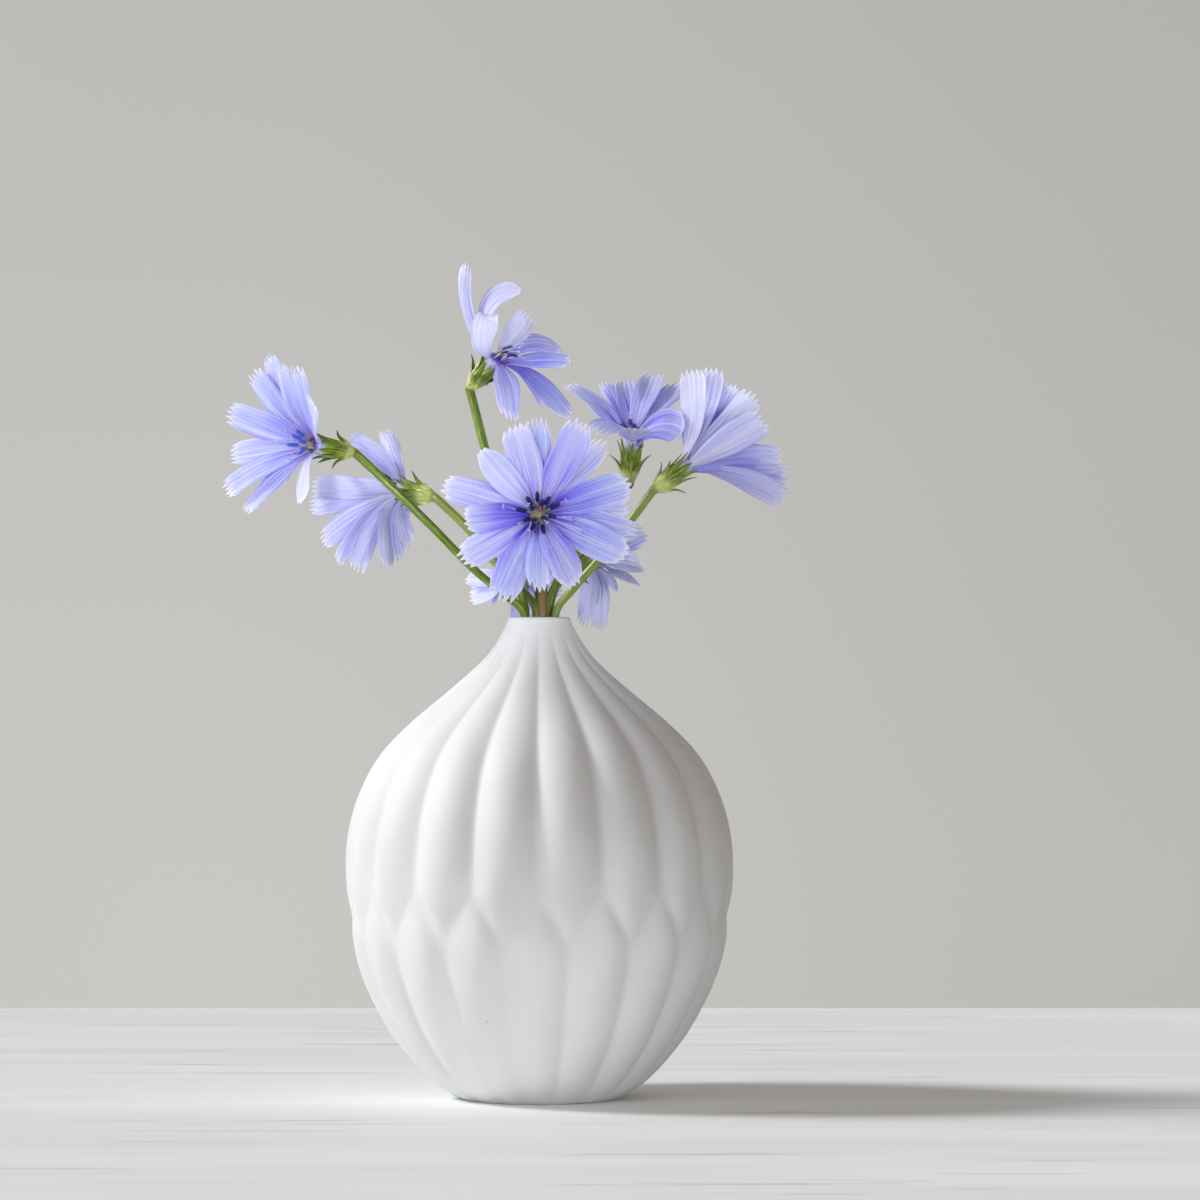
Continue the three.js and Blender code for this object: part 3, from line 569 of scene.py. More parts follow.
class Track:
    """A blade's middle line with its directions along, across and out of the upper face."""

    SAMPLES = 181

    def __init__(self, controls, side, roll):
        """Bezier line that rolls about itself by roll degrees towards its tip."""
        self.t = np.linspace(0, 1, self.SAMPLES)
        self.line = bezier(controls, self.t)
        self.length = float(np.linalg.norm(np.diff(self.line, axis=0), axis=1).sum())
        tangent = unit(np.gradient(self.line, self.t, axis=0))
        normal = unit(np.cross(tangent, unit(side)))
        over = np.cross(normal, tangent)
        turn = math.radians(roll) * self.t[:, None]
        self.normal = normal * np.cos(turn) - over * np.sin(turn)
        self.over = over * np.cos(turn) + normal * np.sin(turn)

    def place(self, t, aside, out):
        """Points at t along the line, aside across it and out along its normal."""
        def along(values):
            return np.stack([np.interp(t, self.t, values[:, k]) for k in range(3)], -1)
        across = aside[..., None] * along(self.over)
        return along(self.line) + across + out[..., None] * along(self.normal)


def head_frame(bloom):
    """Throat, axis and two directions across it, turned as the axis turns away from +Z."""
    axis = unit(bloom["facing"])
    turn = Vector((0, 0, 1)).rotation_difference(Vector(axis)).to_matrix()
    return np.array(bloom["throat"], float), axis, np.array(turn.col[0]), np.array(turn.col[1])


def lumpy_rings(bloom, heights, radii, sides, depth, lumps, twist=0.0):
    """Rings round a bloom's axis: radius * (1 + depth * cos(lumps * angle + twist * height))."""
    throat, axis, right, up = head_frame(bloom)
    angle = circle(sides)
    ring = np.cos(angle)[:, None] * right + np.sin(angle)[:, None] * up
    wave = 1 + depth * np.cos(lumps * angle + twist * heights[:, None])
    return throat + heights[:, None, None] * axis + (radii[:, None] * wave)[..., None] * ring


# ---- materials -----------------------------------------------------------------------------

LAVENDER = (0.49, 0.475, 0.86)
ROSE = (0.56, 0.33, 0.80)
BLEACHED = (0.93, 0.92, 1.0)
SPECK = (0.16, 0.12, 0.09)
GREEN_BASES, DARK_BASES = (0.33, 0.37, 0.05), (0.13, 0.04, 0.10)
POLLEN = (0.78, 0.78, 0.80)
# Near-black diffuse colour of the wall under its glow, and the painted shade of that glow to the
# right.
WALL_UNDERCOAT, WARM_PAINTED_WALL_SHADE = (0.06, 0.06, 0.06), (0.36, 0.35, 0.325)
COOL_SKY, WARM_SKY = (0.96, 0.98, 1.0), (1.0, 0.80, 0.66)


class Nodes:
    """Shader nodes made and linked line by line in one tree."""

    def __init__(self, tree):
        self.tree = tree

    def feed(self, socket, value):
        """A link where the value is a socket, the socket's own value otherwise."""
        if isinstance(value, bpy.types.NodeSocket):
            self.tree.links.new(value, socket)
        elif socket.type == "RGBA":
            socket.default_value = (*value[:3], 1.0)
        else:
            socket.default_value = value

    def node(self, kind, *values, **inputs):
        """A node of a kind with its inputs fed in order and by name."""
        made = self.tree.nodes.new("ShaderNode" + kind)
        for socket, value in zip(made.inputs, values):
            self.feed(socket, value)
        for key, value in inputs.items():
            self.feed(made.inputs[key.replace("_", " ")], value)
        return made

    def math(self, operation, *values):
        """The result of a maths node."""
        made = self.node("Math", *values)
        made.operation = operation
        return made.outputs[0]

    def times(self, first, *others):
        """The product of values."""
        for value in others:
            first = self.math("MULTIPLY", first, value)
        return first

    def plus(self, first, *others):
        """The sum of values."""
        for value in others:
            first = self.math("ADD", first, value)
        return first

    def over(self, base, colour, *shares):
        """A colour laid over a base as strongly as the product of the shares."""
        made = self.node("Mix")
        made.data_type = "RGBA"
        self.feed(made.inputs[0], self.times(*shares))
        self.feed(made.inputs[6], base)
        self.feed(made.inputs[7], colour)
        return made.outputs[2]

    def ramp(self, value, low, high, to_low=0.0, to_high=1.0, kind="LINEAR"):
        """A value between low and high laid over another range and clipped."""
        made = self.node("MapRange", value, low, high, to_low, to_high)
        made.interpolation_type = kind
        return made.outputs[0]

    def span(self, *values):
        """A ramp with eased ends."""
        return self.ramp(*values, kind="SMOOTHSTEP")


class Paint(Nodes):
    """A node material with its Principled shader at hand."""

    def __init__(self, name, roughness, **sockets):
        self.material = bpy.data.materials.new(name)
        self.material.use_nodes = True
        super().__init__(self.material.node_tree)
        self.tree.nodes.clear()
        self.output = self.node("OutputMaterial")
        self.shader = self.node("BsdfPrincipled", Roughness=roughness, **sockets)
        self.surface(self.shader)

    def surface(self, shader):
        self.feed(self.output.inputs["Surface"], shader.outputs[0])

    def attribute(self, name):
        made = self.node("Attribute")
        made.attribute_name = name
        return made.outputs["Fac"]

    def position(self):
        return self.node("TexCoord").outputs["Object"]

    def noise(self, vector, scale, detail, roughness=0.55):
        made = self.node("TexNoise", Vector=vector, Scale=scale, Detail=detail, Roughness=roughness)
        return made.outputs[0]

    def streaks(self, across, along, density, stretch, detail, seed=0.0):
        """Noise in lines along a piece, by their density across it and their change along it."""
        place = self.node("CombineXYZ", self.times(across, density), self.times(along, stretch), seed)
        return self.noise(place.outputs[0], 1.0, detail)

    def bump(self, height, distance, strength):
        made = self.node("Bump", Height=height, Distance=distance, Strength=strength)
        self.feed(self.shader.inputs["Normal"], made.outputs[0])
        return made.outputs[0]

    def colour(self, value):
        self.feed(self.shader.inputs["Base Color"], value)


def darker(rgb, factor):
    """A colour scaled in strength."""
    return tuple(min(1.0, c * factor) for c in rgb)


def bisque_material(settings):
    """Unglazed porcelain: faint cloudiness, a fine grain and a few small dark specks."""
    paint = Paint("bisque_porcelain", settings.roughness)
    where = paint.position()
    cloud = paint.noise(where, 60, 4)
    base = settings.bisque
    tone = paint.over(darker(base, 0.97), darker(base, 1.02), paint.span(cloud, 0.3, 0.7))
    cells = paint.node("TexVoronoi", Vector=where, Scale=260.0).outputs["Distance"]
    few = paint.span(paint.noise(where, 190, 1), 0.64, 0.70)
    paint.colour(paint.over(tone, SPECK, paint.span(cells, 0.12, 0.02), few, 0.35))
    low, high = settings.roughness - 0.05, settings.roughness + 0.05
    paint.feed(paint.shader.inputs["Roughness"], paint.span(cloud, 0.25, 0.75, low, high))
    paint.bump(paint.plus(paint.noise(where, 2600, 2), paint.times(cloud, 1.5)), 0.00006, 0.35)
    return paint.material


def water_material(settings):
    """Still water with the slightest ripple."""
    paint = Paint("still_water", 0.02, IOR=1.333, Transmission_Weight=1.0)
    where = paint.position()
    tint = paint.span(paint.noise(where, 30, 2), 0.3, 0.7)
    paint.colour(paint.over(darker(settings.water, 0.96), settings.water, tint))
    paint.bump(paint.noise(where, 90, 2), 0.0002, 0.15)
    return paint.material


def stem_material(settings):
    """Ribbed green rind: fine streaks along, a red flush and paler swollen parts."""
    paint = Paint("stem_rind", 0.3, IOR=1.5)
    ripe, flush, dry = paint.attribute("pale"), paint.attribute("flush"), paint.attribute("dry")
    streaks = paint.streaks(paint.attribute("around"), paint.attribute("along"), 7.0, 3.0, 3)
    mottle = paint.noise(paint.position(), 900, 3)
    green, pale = settings.green, settings.pale
    base = paint.over(darker(green, 0.55), darker(green, 1.55), paint.span(streaks, 0.32, 0.68))
    base = paint.over(base, darker(green, 1.9), paint.span(mottle, 0.45, 0.75), 0.35)
    base = paint.over(base, pale, paint.span(streaks, 0.54, 0.66), 0.45)
    swollen = paint.over(pale, darker(pale, 0.72), paint.span(streaks, 0.35, 0.7))
    base = paint.over(base, swollen, ripe)
    base = paint.over(base, settings.ruddy, flush, paint.span(streaks, 0.25, 0.6))
    paint.colour(paint.over(base, settings.tip, dry))
    paint.bump(paint.plus(streaks, paint.times(mottle, 0.5)), 0.00008, 0.5)
    return paint.material


def petal_material(settings):
    """Blue blade: violet at the throat, uneven ribbons along, whitish teeth, a pale underside, and
    painted light and shade set by each blade's pale value.
    """
    paint = Paint("chicory_petal", 0.5, IOR=1.38, Sheen_Weight=0.3, Sheen_Roughness=0.4)
    blue, deep, light, back = settings.blue, settings.deep, settings.light, settings.back
    blade = paint.node("UVMap")
    blade.uv_map = "blade"
    across, along, _ = paint.node("SeparateXYZ", blade.outputs[0]).outputs
    tone, under, pale = paint.attribute("tone"), paint.attribute("under"), paint.attribute("pale")
    seed = paint.times(tone, 40.0)
    ribbons = paint.streaks(across, along, 5.5, 0.8, 2, seed)
    lines = paint.streaks(across, along, 28.0, 1.0, 3, seed)
    clouds = paint.noise(paint.position(), 150, 2)
    pleat = paint.math("ABSOLUTE", paint.math("SINE", paint.times(across, TEETH * math.pi)))
    # Painted light and shade by each blade's pale value. Above 0 it whitens the blade, partly its own
    # paleness and partly painted light. Below 0 it paints shade: a deeper blue from the throat that
    # fades out towards the tip.
    paleness_and_painted_light, painted_shade = paint.span(pale, 0.0, 1.0), paint.span(pale, 0.0, -1.0)

    def swing(value, middle, gain):
        return paint.times(paint.math("SUBTRACT", value, middle), gain)

    reach = paint.plus(along, swing(ribbons, 0.5, 0.9), swing(tone, 0.4, 0.3))
    body = paint.over(blue, LAVENDER, paint.span(tone, 0.2, 0.8))
    upper = paint.over(deep, body, paint.span(reach, 0.08, 0.38))
    near_throat = paint.span(along, 0.4, 0.15, 0.0, 0.75)
    past_throat = paint.span(along, 0.05, 0.3, 0.2, 0.75)
    upper = paint.over(upper, ROSE, near_throat, paint.span(ribbons, 0.47, 0.56))
    upper = paint.over(upper, light, paint.span(along, 0.5, 1.0, 0.0, 0.55))
    upper = paint.over(upper, light, paint.span(ribbons, 0.5, 0.7), past_throat)
    upper = paint.over(upper, light, paint.span(clouds, 0.5, 0.75, 0.0, 0.4))
    upper = paint.over(upper, light, paint.span(lines, 0.54, 0.64, 0.0, 0.8))
    veins = paint.times(paint.span(lines, 0.47, 0.35), paint.span(along, 1.0, 0.2, 0.35, 0.9))
    creases = paint.times(paint.span(pleat, 0.55, 0.0), paint.span(ribbons, 0.58, 0.4, 0.0, 0.35))
    veins = paint.math("MAXIMUM", veins, creases)
    upper = paint.over(upper, darker(deep, 1.8), veins)
    upper = paint.over(upper, back, paleness_and_painted_light)
    upper = paint.over(upper, darker(deep, 1.35), painted_shade, paint.span(along, 1.0, 0.45))

    lower = paint.over(back, LAVENDER, paint.span(ribbons, 0.45, 0.68, 0.0, 0.5))
    lower = paint.over(lower, blue, veins, 0.8)
    # Painted shade: a blade with pale below 0 shows its shaded upper colour on the underside too.
    lower = paint.over(lower, upper, painted_shade, 0.85)
    lower = paint.over(lower, BLEACHED, paleness_and_painted_light)
    face = paint.over(upper, lower, under)
    face = paint.over(face, blue, veins, paint.span(pale, 0.1, 0.8, 0.0, 0.6))
    face = paint.over(face, BLEACHED, paint.span(along, 0.92, 1.0, 0.0, 0.65))
    paint.colour(face)
    normal = paint.bump(paint.plus(paint.times(lines, 0.7), paint.times(ribbons, 1.2)), 0.0002, 0.4)
    through = paint.node("BsdfTranslucent", Color=face, Normal=normal)
    both = paint.node("MixShader", settings.translucency, paint.shader.outputs[0], through.outputs[0])
    paint.surface(both)
    return paint.material


def anther_material(settings):
    """Pale filament, navy tube with fine ribs, pale style dusted with pollen."""
    paint = Paint("anther_and_style", 0.55, IOR=1.4)
    where, along = paint.position(), paint.attribute("along")
    grain, patches = paint.noise(where, 2400, 2), paint.noise(where, 750, 2)
    ribs = paint.streaks(paint.attribute("around"), along, 9.0, 1.0, 2)
    tube = paint.over(settings.tube, darker(settings.tube, 2.2), paint.span(ribs, 0.35, 0.65))
    tube = paint.over(tube, settings.lit, paint.attribute("tint"))
    base = paint.over(settings.mass, GREEN_BASES, paint.span(patches, 0.63, 0.68))
    base = paint.over(base, DARK_BASES, paint.span(patches, 0.53, 0.47))
    base = paint.over(base, settings.filament, paint.span(along, 0.05, 0.2))
    base = paint.over(base, tube, paint.span(along, FILAMENT_TO, TUBE_FROM))
    base = paint.over(base, settings.style, paint.span(along, 0.68, STYLE_FROM))
    dust = paint.span(grain, 0.45, 0.65, 0.3, 1.0)
    base = paint.over(base, POLLEN, paint.span(along, 0.86, 0.92), dust)
    paint.colour(base)
    paint.bump(grain, 0.00005, 0.5)
    return paint.material


def table_material(settings):
    """White-washed boards: soft cloudiness and a few faint cracks along X."""
    paint = Paint("white_washed_table", 0.6)
    where = paint.position()
    stretched = paint.node("Mapping", Vector=where, Scale=(1.2, 9.0, 1.0)).outputs[0]
    drawn_out = paint.node("Mapping", Vector=where, Scale=(2.2, 30.0, 1.0)).outputs[0]
    cloud = paint.noise(stretched, 3.0, 5)
    cracks = paint.span(paint.noise(drawn_out, 4.0, 4, 0.6), 0.61, 0.66)
    base = settings.table
    tone = paint.over(darker(base, 0.94), darker(base, 1.03), paint.span(cloud, 0.35, 0.68))
    paint.colour(paint.over(tone, darker(base, 0.55), cracks, 0.5))
    paint.bump(paint.math("SUBTRACT", cloud, cracks), 0.0004, 0.2)
    return paint.material


def wall_material(settings):
    """Matt gray wall that glows, which is painted light: a little brighter low down and to the left,
    with painted shade, darker and warmer, to the right.
    """
    paint = Paint("gray_wall", 0.9, Base_Color=WALL_UNDERCOAT)
    where = paint.position()
    x, _, z = paint.node("SeparateXYZ", where).outputs
    cloud = paint.noise(where, 1.5, 3)
    base = settings.wall
    # Painted light and shade on the glowing wall: brighter low down and darker higher up, and darker
    # and warmer to the right.
    tone = paint.over(darker(base, 1.03), darker(base, 0.87), paint.span(z, -0.1, 0.5))
    tone = paint.over(tone, WARM_PAINTED_WALL_SHADE, paint.span(x, -0.2, 0.4, 0.0, 0.5))
    tone = paint.over(tone, darker(base, 0.95), paint.span(cloud, 0.3, 0.7), 0.3)
    # Painted light: the wall glows with this tone on top of a nearly black diffuse colour.
    glow = paint.node("Emission", Color=tone, Strength=0.98)
    paint.surface(paint.node("AddShader", paint.shader.outputs[0], glow.outputs[0]))
    return paint.material


# ---- shapes --------------------------------------------------------------------------------


def crest_radius(height):
    """Cubic Hermite curve through the outline, its slopes those of the neighbouring points."""
    radius, level = np.array(VASE_OUTLINE, float).T
    before = np.maximum(np.arange(len(level)) - 1, 0)
    after = np.minimum(np.arange(len(level)) + 1, len(level) - 1)
    slope = (radius[after] - radius[before]) / (level[after] - level[before])
    height = np.asarray(height, float)
    i = np.clip(np.searchsorted(level, height, "right") - 1, 0, len(level) - 2)
    step = level[i + 1] - level[i]
    t = (height - level[i]) / step
    bend = slope[i] * t * (1 - t) ** 2 - slope[i + 1] * t * t * (1 - t)
    return radius[i] + (radius[i + 1] - radius[i]) * smoothstep(t) + step * bend


def lobe_height(angle, height, settings):
    """1 on the crest of a lobe and 0 in a crease. Below the fork the creases slide half a lobe."""
    half = np.pi / settings.lobes
    fall = np.clip((FORK_HEIGHT - height) / (FORK_HEIGHT - MEET_HEIGHT), 0, 1)
    slide = half * fall**0.85
    aside = ((angle + np.pi / 2) / half + 1) % 2 - 1
    from_crease = np.abs(aside) * half
    upper = from_crease > slide
    width = np.maximum(np.where(upper, half - slide, slide), half / 1000)
    across = np.where(upper, half - from_crease, from_crease) / width
    ease = smoothstep(fall)
    bulge = np.where(upper, 1 - ease, ease) ** NARROW_POWER * (1 - across**2)
    near_fork = np.exp(-(((height - (FORK_HEIGHT + MEET_HEIGHT) / 2) / 8) ** 2))
    soft = settings.softness * (1 + near_fork * (4.0 - 2.4 * np.sin(np.pi * aside)))
    return np.sqrt(bulge**2 + soft**2) - soft


def vase_rings(settings):
    """Rings up the ribbed outside, over the rounded lip and down the plain inside."""
    columns = settings.lobes * POINTS_PER_LOBE
    angle = (np.arange(columns) / columns * 2 - 0.5) * np.pi
    edge_height, edge_inset = np.array(FOOT_EDGE).T
    heights = np.concatenate([edge_height, *(np.linspace(*rings) for rings in OUTSIDE_RINGS)])
    fade = 1 - smoothstep((heights - PLAIN_FROM) / (PLAIN_TO - PLAIN_FROM))
    lobe = lobe_height(angle[None], heights[:, None], settings)
    deeper_above = 0.85 + 0.35 * smoothstep((heights - 30) / 35)
    depth = settings.relief * deeper_above * fade
    relief = 1 - depth[:, None] * (1 - lobe)
    inset = np.interp(heights, edge_height, edge_inset)
    outside = (crest_radius(heights) - inset)[:, None] * relief

    lip = np.linspace(0, np.pi, LIP_ROWS + 2)[1:-1]
    lip_outside = crest_radius(LIP_HEIGHT)
    lip_radius = (lip_outside + MOUTH) / 2 + (lip_outside - MOUTH) / 2 * np.cos(lip)
    lip_height = LIP_HEIGHT + (VASE_TOP - LIP_HEIGHT) * np.sin(lip)
    behind_creases = crest_radius(INSIDE_RINGS) * (1 - 1.2 * settings.relief) - WALL
    inner_radius = np.maximum(MOUTH, behind_creases)
    inner_radius[-1] -= BOTTOM_BEVEL
    plain = np.concatenate([lip_radius, inner_radius, inner_radius[-1:] - BOTTOM_CURVE])
    radius = np.concatenate([outside, np.repeat(plain[:, None], columns, 1)])
    level = np.concatenate([heights, lip_height, INSIDE_RINGS, [FLOOR]])[:, None] + 0 * radius
    return np.stack([radius * np.cos(angle), radius * np.sin(angle), level], -1)


def stem_path(bloom):
    """The stem's middle line: straight in the vase, then a Catmull-Rom curve to the head."""
    throat, axis, _, _ = head_frame(bloom)
    x, y = bloom["neck"]
    foot = np.array([x * SPLAY, y * SPLAY, STEM_FOOT_HEIGHT])
    neck = np.array([x, y, NECK_HEIGHT])
    base = throat - HEAD_LENGTH * axis
    straight = foot + np.linspace(0, 1, STRAIGHT_ROWS)[:-1, None] * (neck - foot)
    bend = catmull_rom([neck, *bloom["bends"], base], np.linspace(0, 1, BEND_ROWS))
    return straight, bend


def lance(t, width):
    """Half-width of a bract: broad from its base, then narrowing evenly to a sharp tip."""
    return width / 2 * np.minimum(1, 0.62 + 1.3 * t) * (1 - t**2.1) ** 0.85


def add_bract(skin, bloom, whorl, number, draw_controls, rng):
    """A keeled lance-shaped blade: an arc across, which flattens to the tip, its keel outwards."""
    count, first_angle, scatter, width, thickness, (paleness, fade_from, fade_over) = whorl
    throat, axis, right, up = head_frame(bloom)
    angle = 2 * math.pi * number / count + first_angle + rng.normal(0, scatter)
    controls = draw_controls(rng)
    out = right * math.cos(angle) + up * math.sin(angle)
    across = np.cross(axis, out)
    sway = rng.normal(0, 0.25)
    points = [
        throat + height * axis + reach * out + across * sway * (k / (len(controls) - 1)) ** 2
        for k, (height, reach) in enumerate(controls)
    ]
    track = Track(points, across, rng.normal(0, 8))
    t = np.linspace(0, 1, BRACT_ROWS)[:, None]
    s = np.linspace(-1, 1, BRACT_COLUMNS)[None]
    half = lance(t, width) + 0.03
    theta = 1 - 0.5 * t
    aside = half * np.sin(theta * s) / theta
    keel = 0.22 * (1 - np.abs(s)) ** 1.5 * (1 - t)
    out_of = half * (1 - np.cos(theta * s)) / theta - keel
    depth = thickness / 2 * (1 - 0.75 * s**2) * (1 - 0.7 * t)
    skin.shell(
        track.place(t, aside, out_of + depth), track.place(t, aside, out_of - depth),
        along=t, around=s * 0.6 + angle, flush=0, dry=smoothstep((t - 0.8) / 0.2) * 0.8,
        pale=paleness * (1 - smoothstep((t - fade_from) / fade_over)),
    )


def inner_controls(rng):
    """Middle line of a long upright bract: heights from the throat and distances from the axis."""
    flare, rise = rng.uniform(-0.3, 0.7), rng.uniform(-0.9, 0.6)
    tip = (-0.4 + rise, 2.8 + flare)
    return [(-7.2, 1.35), (-5.6, 1.9), (-3.8, 1.75), (-2.2 + rise / 2, 2.1 + flare / 2), tip]


def outer_controls(rng):
    """Middle line of a short bract that spreads from the base of the head."""
    flare = rng.uniform(-0.4, 0.6)
    return [(-8.6, 1.1), (-7.6, 2.1), (-6.3, 2.0), (-5.4, 2.6), (-4.3 + flare / 2, 4.2 + flare)]


def stem_skin(bloom, settings, rng):
    """One stem from its cut foot to its head, with the swelling and both whorls of bracts."""
    throat, axis, _, _ = head_frame(bloom)
    skin = Skin("along", "around", "pale", "flush", "dry")
    straight, bend = stem_path(bloom)
    foot, neck, top = settings.foot_radius / MM, settings.neck_radius / MM, settings.top_radius / MM
    depth, head_radius = HEAD_OUTLINE.T
    path = np.vstack([straight, bend, throat + depth[:, None] * axis])
    radii = np.concatenate([
        np.linspace(foot, neck, len(straight)), np.linspace(neck, top, len(bend)), head_radius,
    ])
    rings = swept(path, unit(np.cross((0, 0, 1), axis)), radii, STEM_SIDES, settings.ridge)
    young = bloom.get("young", 0) * smoothstep(np.linspace(0, 2, len(bend)))
    swollen = np.interp(depth, *np.array(HEAD_SWELLING).T)
    swelling = np.concatenate([0 * straight[:, 0], young, swollen])
    flush = bloom.get("ruddy", 0) * np.exp(-(((path[:, 2] - FLUSH_HEIGHT) / FLUSH_REACH) ** 2))
    flush[-len(depth):] = 0
    reach = np.concatenate([[0], np.cumsum(np.linalg.norm(np.diff(path, axis=0), axis=1))])
    skin.tube(
        rings, along=(reach / 20)[:, None], around=np.abs(circle(STEM_SIDES) - np.pi),
        pale=swelling[:, None], flush=flush[:, None], dry=0,
    )
    for whorl, draw_controls in ((INNER_WHORL, inner_controls), (OUTER_WHORL, outer_controls)):
        for number in range(whorl[0]):
            add_bract(skin, bloom, whorl, number, draw_controls, rng)
    return skin


def half_width(t, width):
    """Half the width of a floret: narrow at its root, widest at 0.7, a little less at the tip."""
    widen = np.sin(np.pi / 2 * np.minimum(1, t / 0.7)) ** 1.1
    narrow = 0.14 * np.clip((t - 0.7) / 0.3, 0, 1) ** 2
    return width / 2 * (0.17 + 0.83 * widen) * (1 - narrow)


def floret_track(bloom, floret, index):
    """Middle line from the core over an elbow to the tip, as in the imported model."""
    throat, axis, _, _ = head_frame(bloom)
    traits = floret["traits"]
    reach = np.array(floret["tip"], float)
    outward = unit(reach - (reach @ axis) * axis)
    side = np.cross(axis, outward)
    root = throat + FLORET_ROOT_RADIUS * outward - FLORET_ROOT_DEPTHS[index % 2] * axis
    if "route" in traits:
        route = throat + np.array(traits["route"], float)
        controls = [root, *route, throat + reach]
        side = np.array(traits.get("side", side), float)
    else:
        rise = 0.22 * np.linalg.norm(reach) * axis
        controls = [root, root + rise + 0.3 * reach + traits.get("bow", 0) * side, throat + reach]
    return Track(controls, side, traits.get("turn", 0))


def add_floret(skin, bloom, floret, index, settings, rng):
    """A thin blade on its track. Across it the section is an arc with five pleats, and each column
    ends at its own length, which gives the five teeth."""
    traits = {**bloom["blades"], **floret["traits"]}
    track = floret_track(bloom, floret, index)
    s = np.linspace(-1, 1, BLADE_COLUMNS)[None]
    v = np.linspace(0, 1, BLADE_ROWS)[:, None] ** 0.92
    in_teeth = (s + 1) / 2 * TEETH
    number = np.clip(in_teeth.astype(int), 0, TEETH - 1)
    comb = np.clip(1 - np.abs(in_teeth % 1 * 2 - 1), 0, 1)
    tooth = traits.get("tooth", settings.tooth / MM) * rng.uniform(0.55, 1.25, TEETH)[number]
    drop = traits.get("round", 0.9) * np.abs(s) ** 3 + rng.normal(0, 0.12, TEETH)[number] * comb
    t = v * (1 - (tooth * (1 - comb**0.85) + drop) / track.length)
    opened = smoothstep(t / 0.4)

    phase = rng.uniform(0, 2 * np.pi, 5)
    half = half_width(t, floret["width"]) * (1 + 0.035 * np.sin(8 * t + phase[2] + s) * opened)
    cup = traits.get("cup", 0.85) * np.clip(1 - t, 0, 1) ** 1.5
    theta = 0.05 + cup + rng.normal(0, 0.2) * t
    theta = theta + math.radians(traits.get("fold", 0)) * smoothstep((t - 0.1) / 0.7)
    theta = np.where(np.abs(theta) < 0.02, 0.02, theta)
    bank = theta * s
    pleats = 0.5 - 0.5 * np.cos(TEETH * np.pi * (s + 1) + 0.5 * np.sin(3 * t + phase[2]))
    ripple = 0.2 * np.sin(5.5 * t + phase[0] + 1.4 * s) + 0.16 * s * np.sin(9 * t + phase[1])
    ripple = ripple + 0.14 * np.sin(2.2 * s + phase[3]) * np.sin(4 * t + phase[4])
    crimp = settings.pleat / MM * (pleats - 0.5) * smoothstep(t / 0.25) * rng.uniform(0.4, 1.2)
    rolled = traits.get("edge", 0.3) * np.clip((np.abs(s) - 0.55) / 0.45, 0, 1) ** 2 * opened
    rise = crimp + ripple * opened - rolled
    depth = settings.thickness / MM / 2 * (1 - 0.55 * s**4) * (1 - 0.45 * v**3)

    def face(out):
        aside = half * np.sin(bank) / theta - np.sin(bank) * out
        return track.place(t, aside, half * (1 - np.cos(bank)) / theta + np.cos(bank) * out)

    skin.shell(
        face(rise + depth), face(rise - depth), u=(s + 1) / 2, v=v, tone=rng.uniform(0, 1),
        under=(0, 1), pale=traits.get("pale", 0),
    )


def floret_skin(bloom, settings, rng):
    """All florets of a bloom and the pale receptacle that they stand on."""
    skin = Skin("u", "v", "tone", "under", "pale")
    for index, floret in enumerate(bloom["rays"]):
        add_floret(skin, bloom, floret, index, settings, rng)
    heights, radii, core = np.array(RECEPTACLE).T
    rings = lumpy_rings(bloom, heights, radii, RECEPTACLE_SIDES, 0.08, 10)
    core = core[:, None]
    # Painted shade: towards its top the receptacle turns to the deep throat colour and darkens,
    # because its pale falls below 0.
    skin.tube(rings, u=0.5, v=0.6 - 0.58 * core, tone=0.5, under=1 - core, pale=0.2 - core)
    return skin


def add_style_arms(skin, end, ahead, across, out, style, tint, rng):
    """Two arms of a forked style, each an arc that curls from ahead to its own side."""
    q = np.linspace(0, 1, ARM_ROWS)
    for sign in (-1, 1):
        lean = unit(across * sign + rng.normal(0, 0.3) * out)
        curl = q * rng.uniform(2.0, 3.6)
        size = rng.uniform(0.16, 0.28)
        arc = np.sin(curl)[:, None] * ahead + (1 - np.cos(curl))[:, None] * lean
        arm = end - 0.05 * ahead + size * arc
        rings = swept(arm, unit(np.cross(ahead, lean)), style * (0.85 - 0.4 * q), ARM_SIDES)
        skin.tube(rings, along=ARMS_FROM + ARMS_SHARE * q[:, None], around=0, tint=tint)


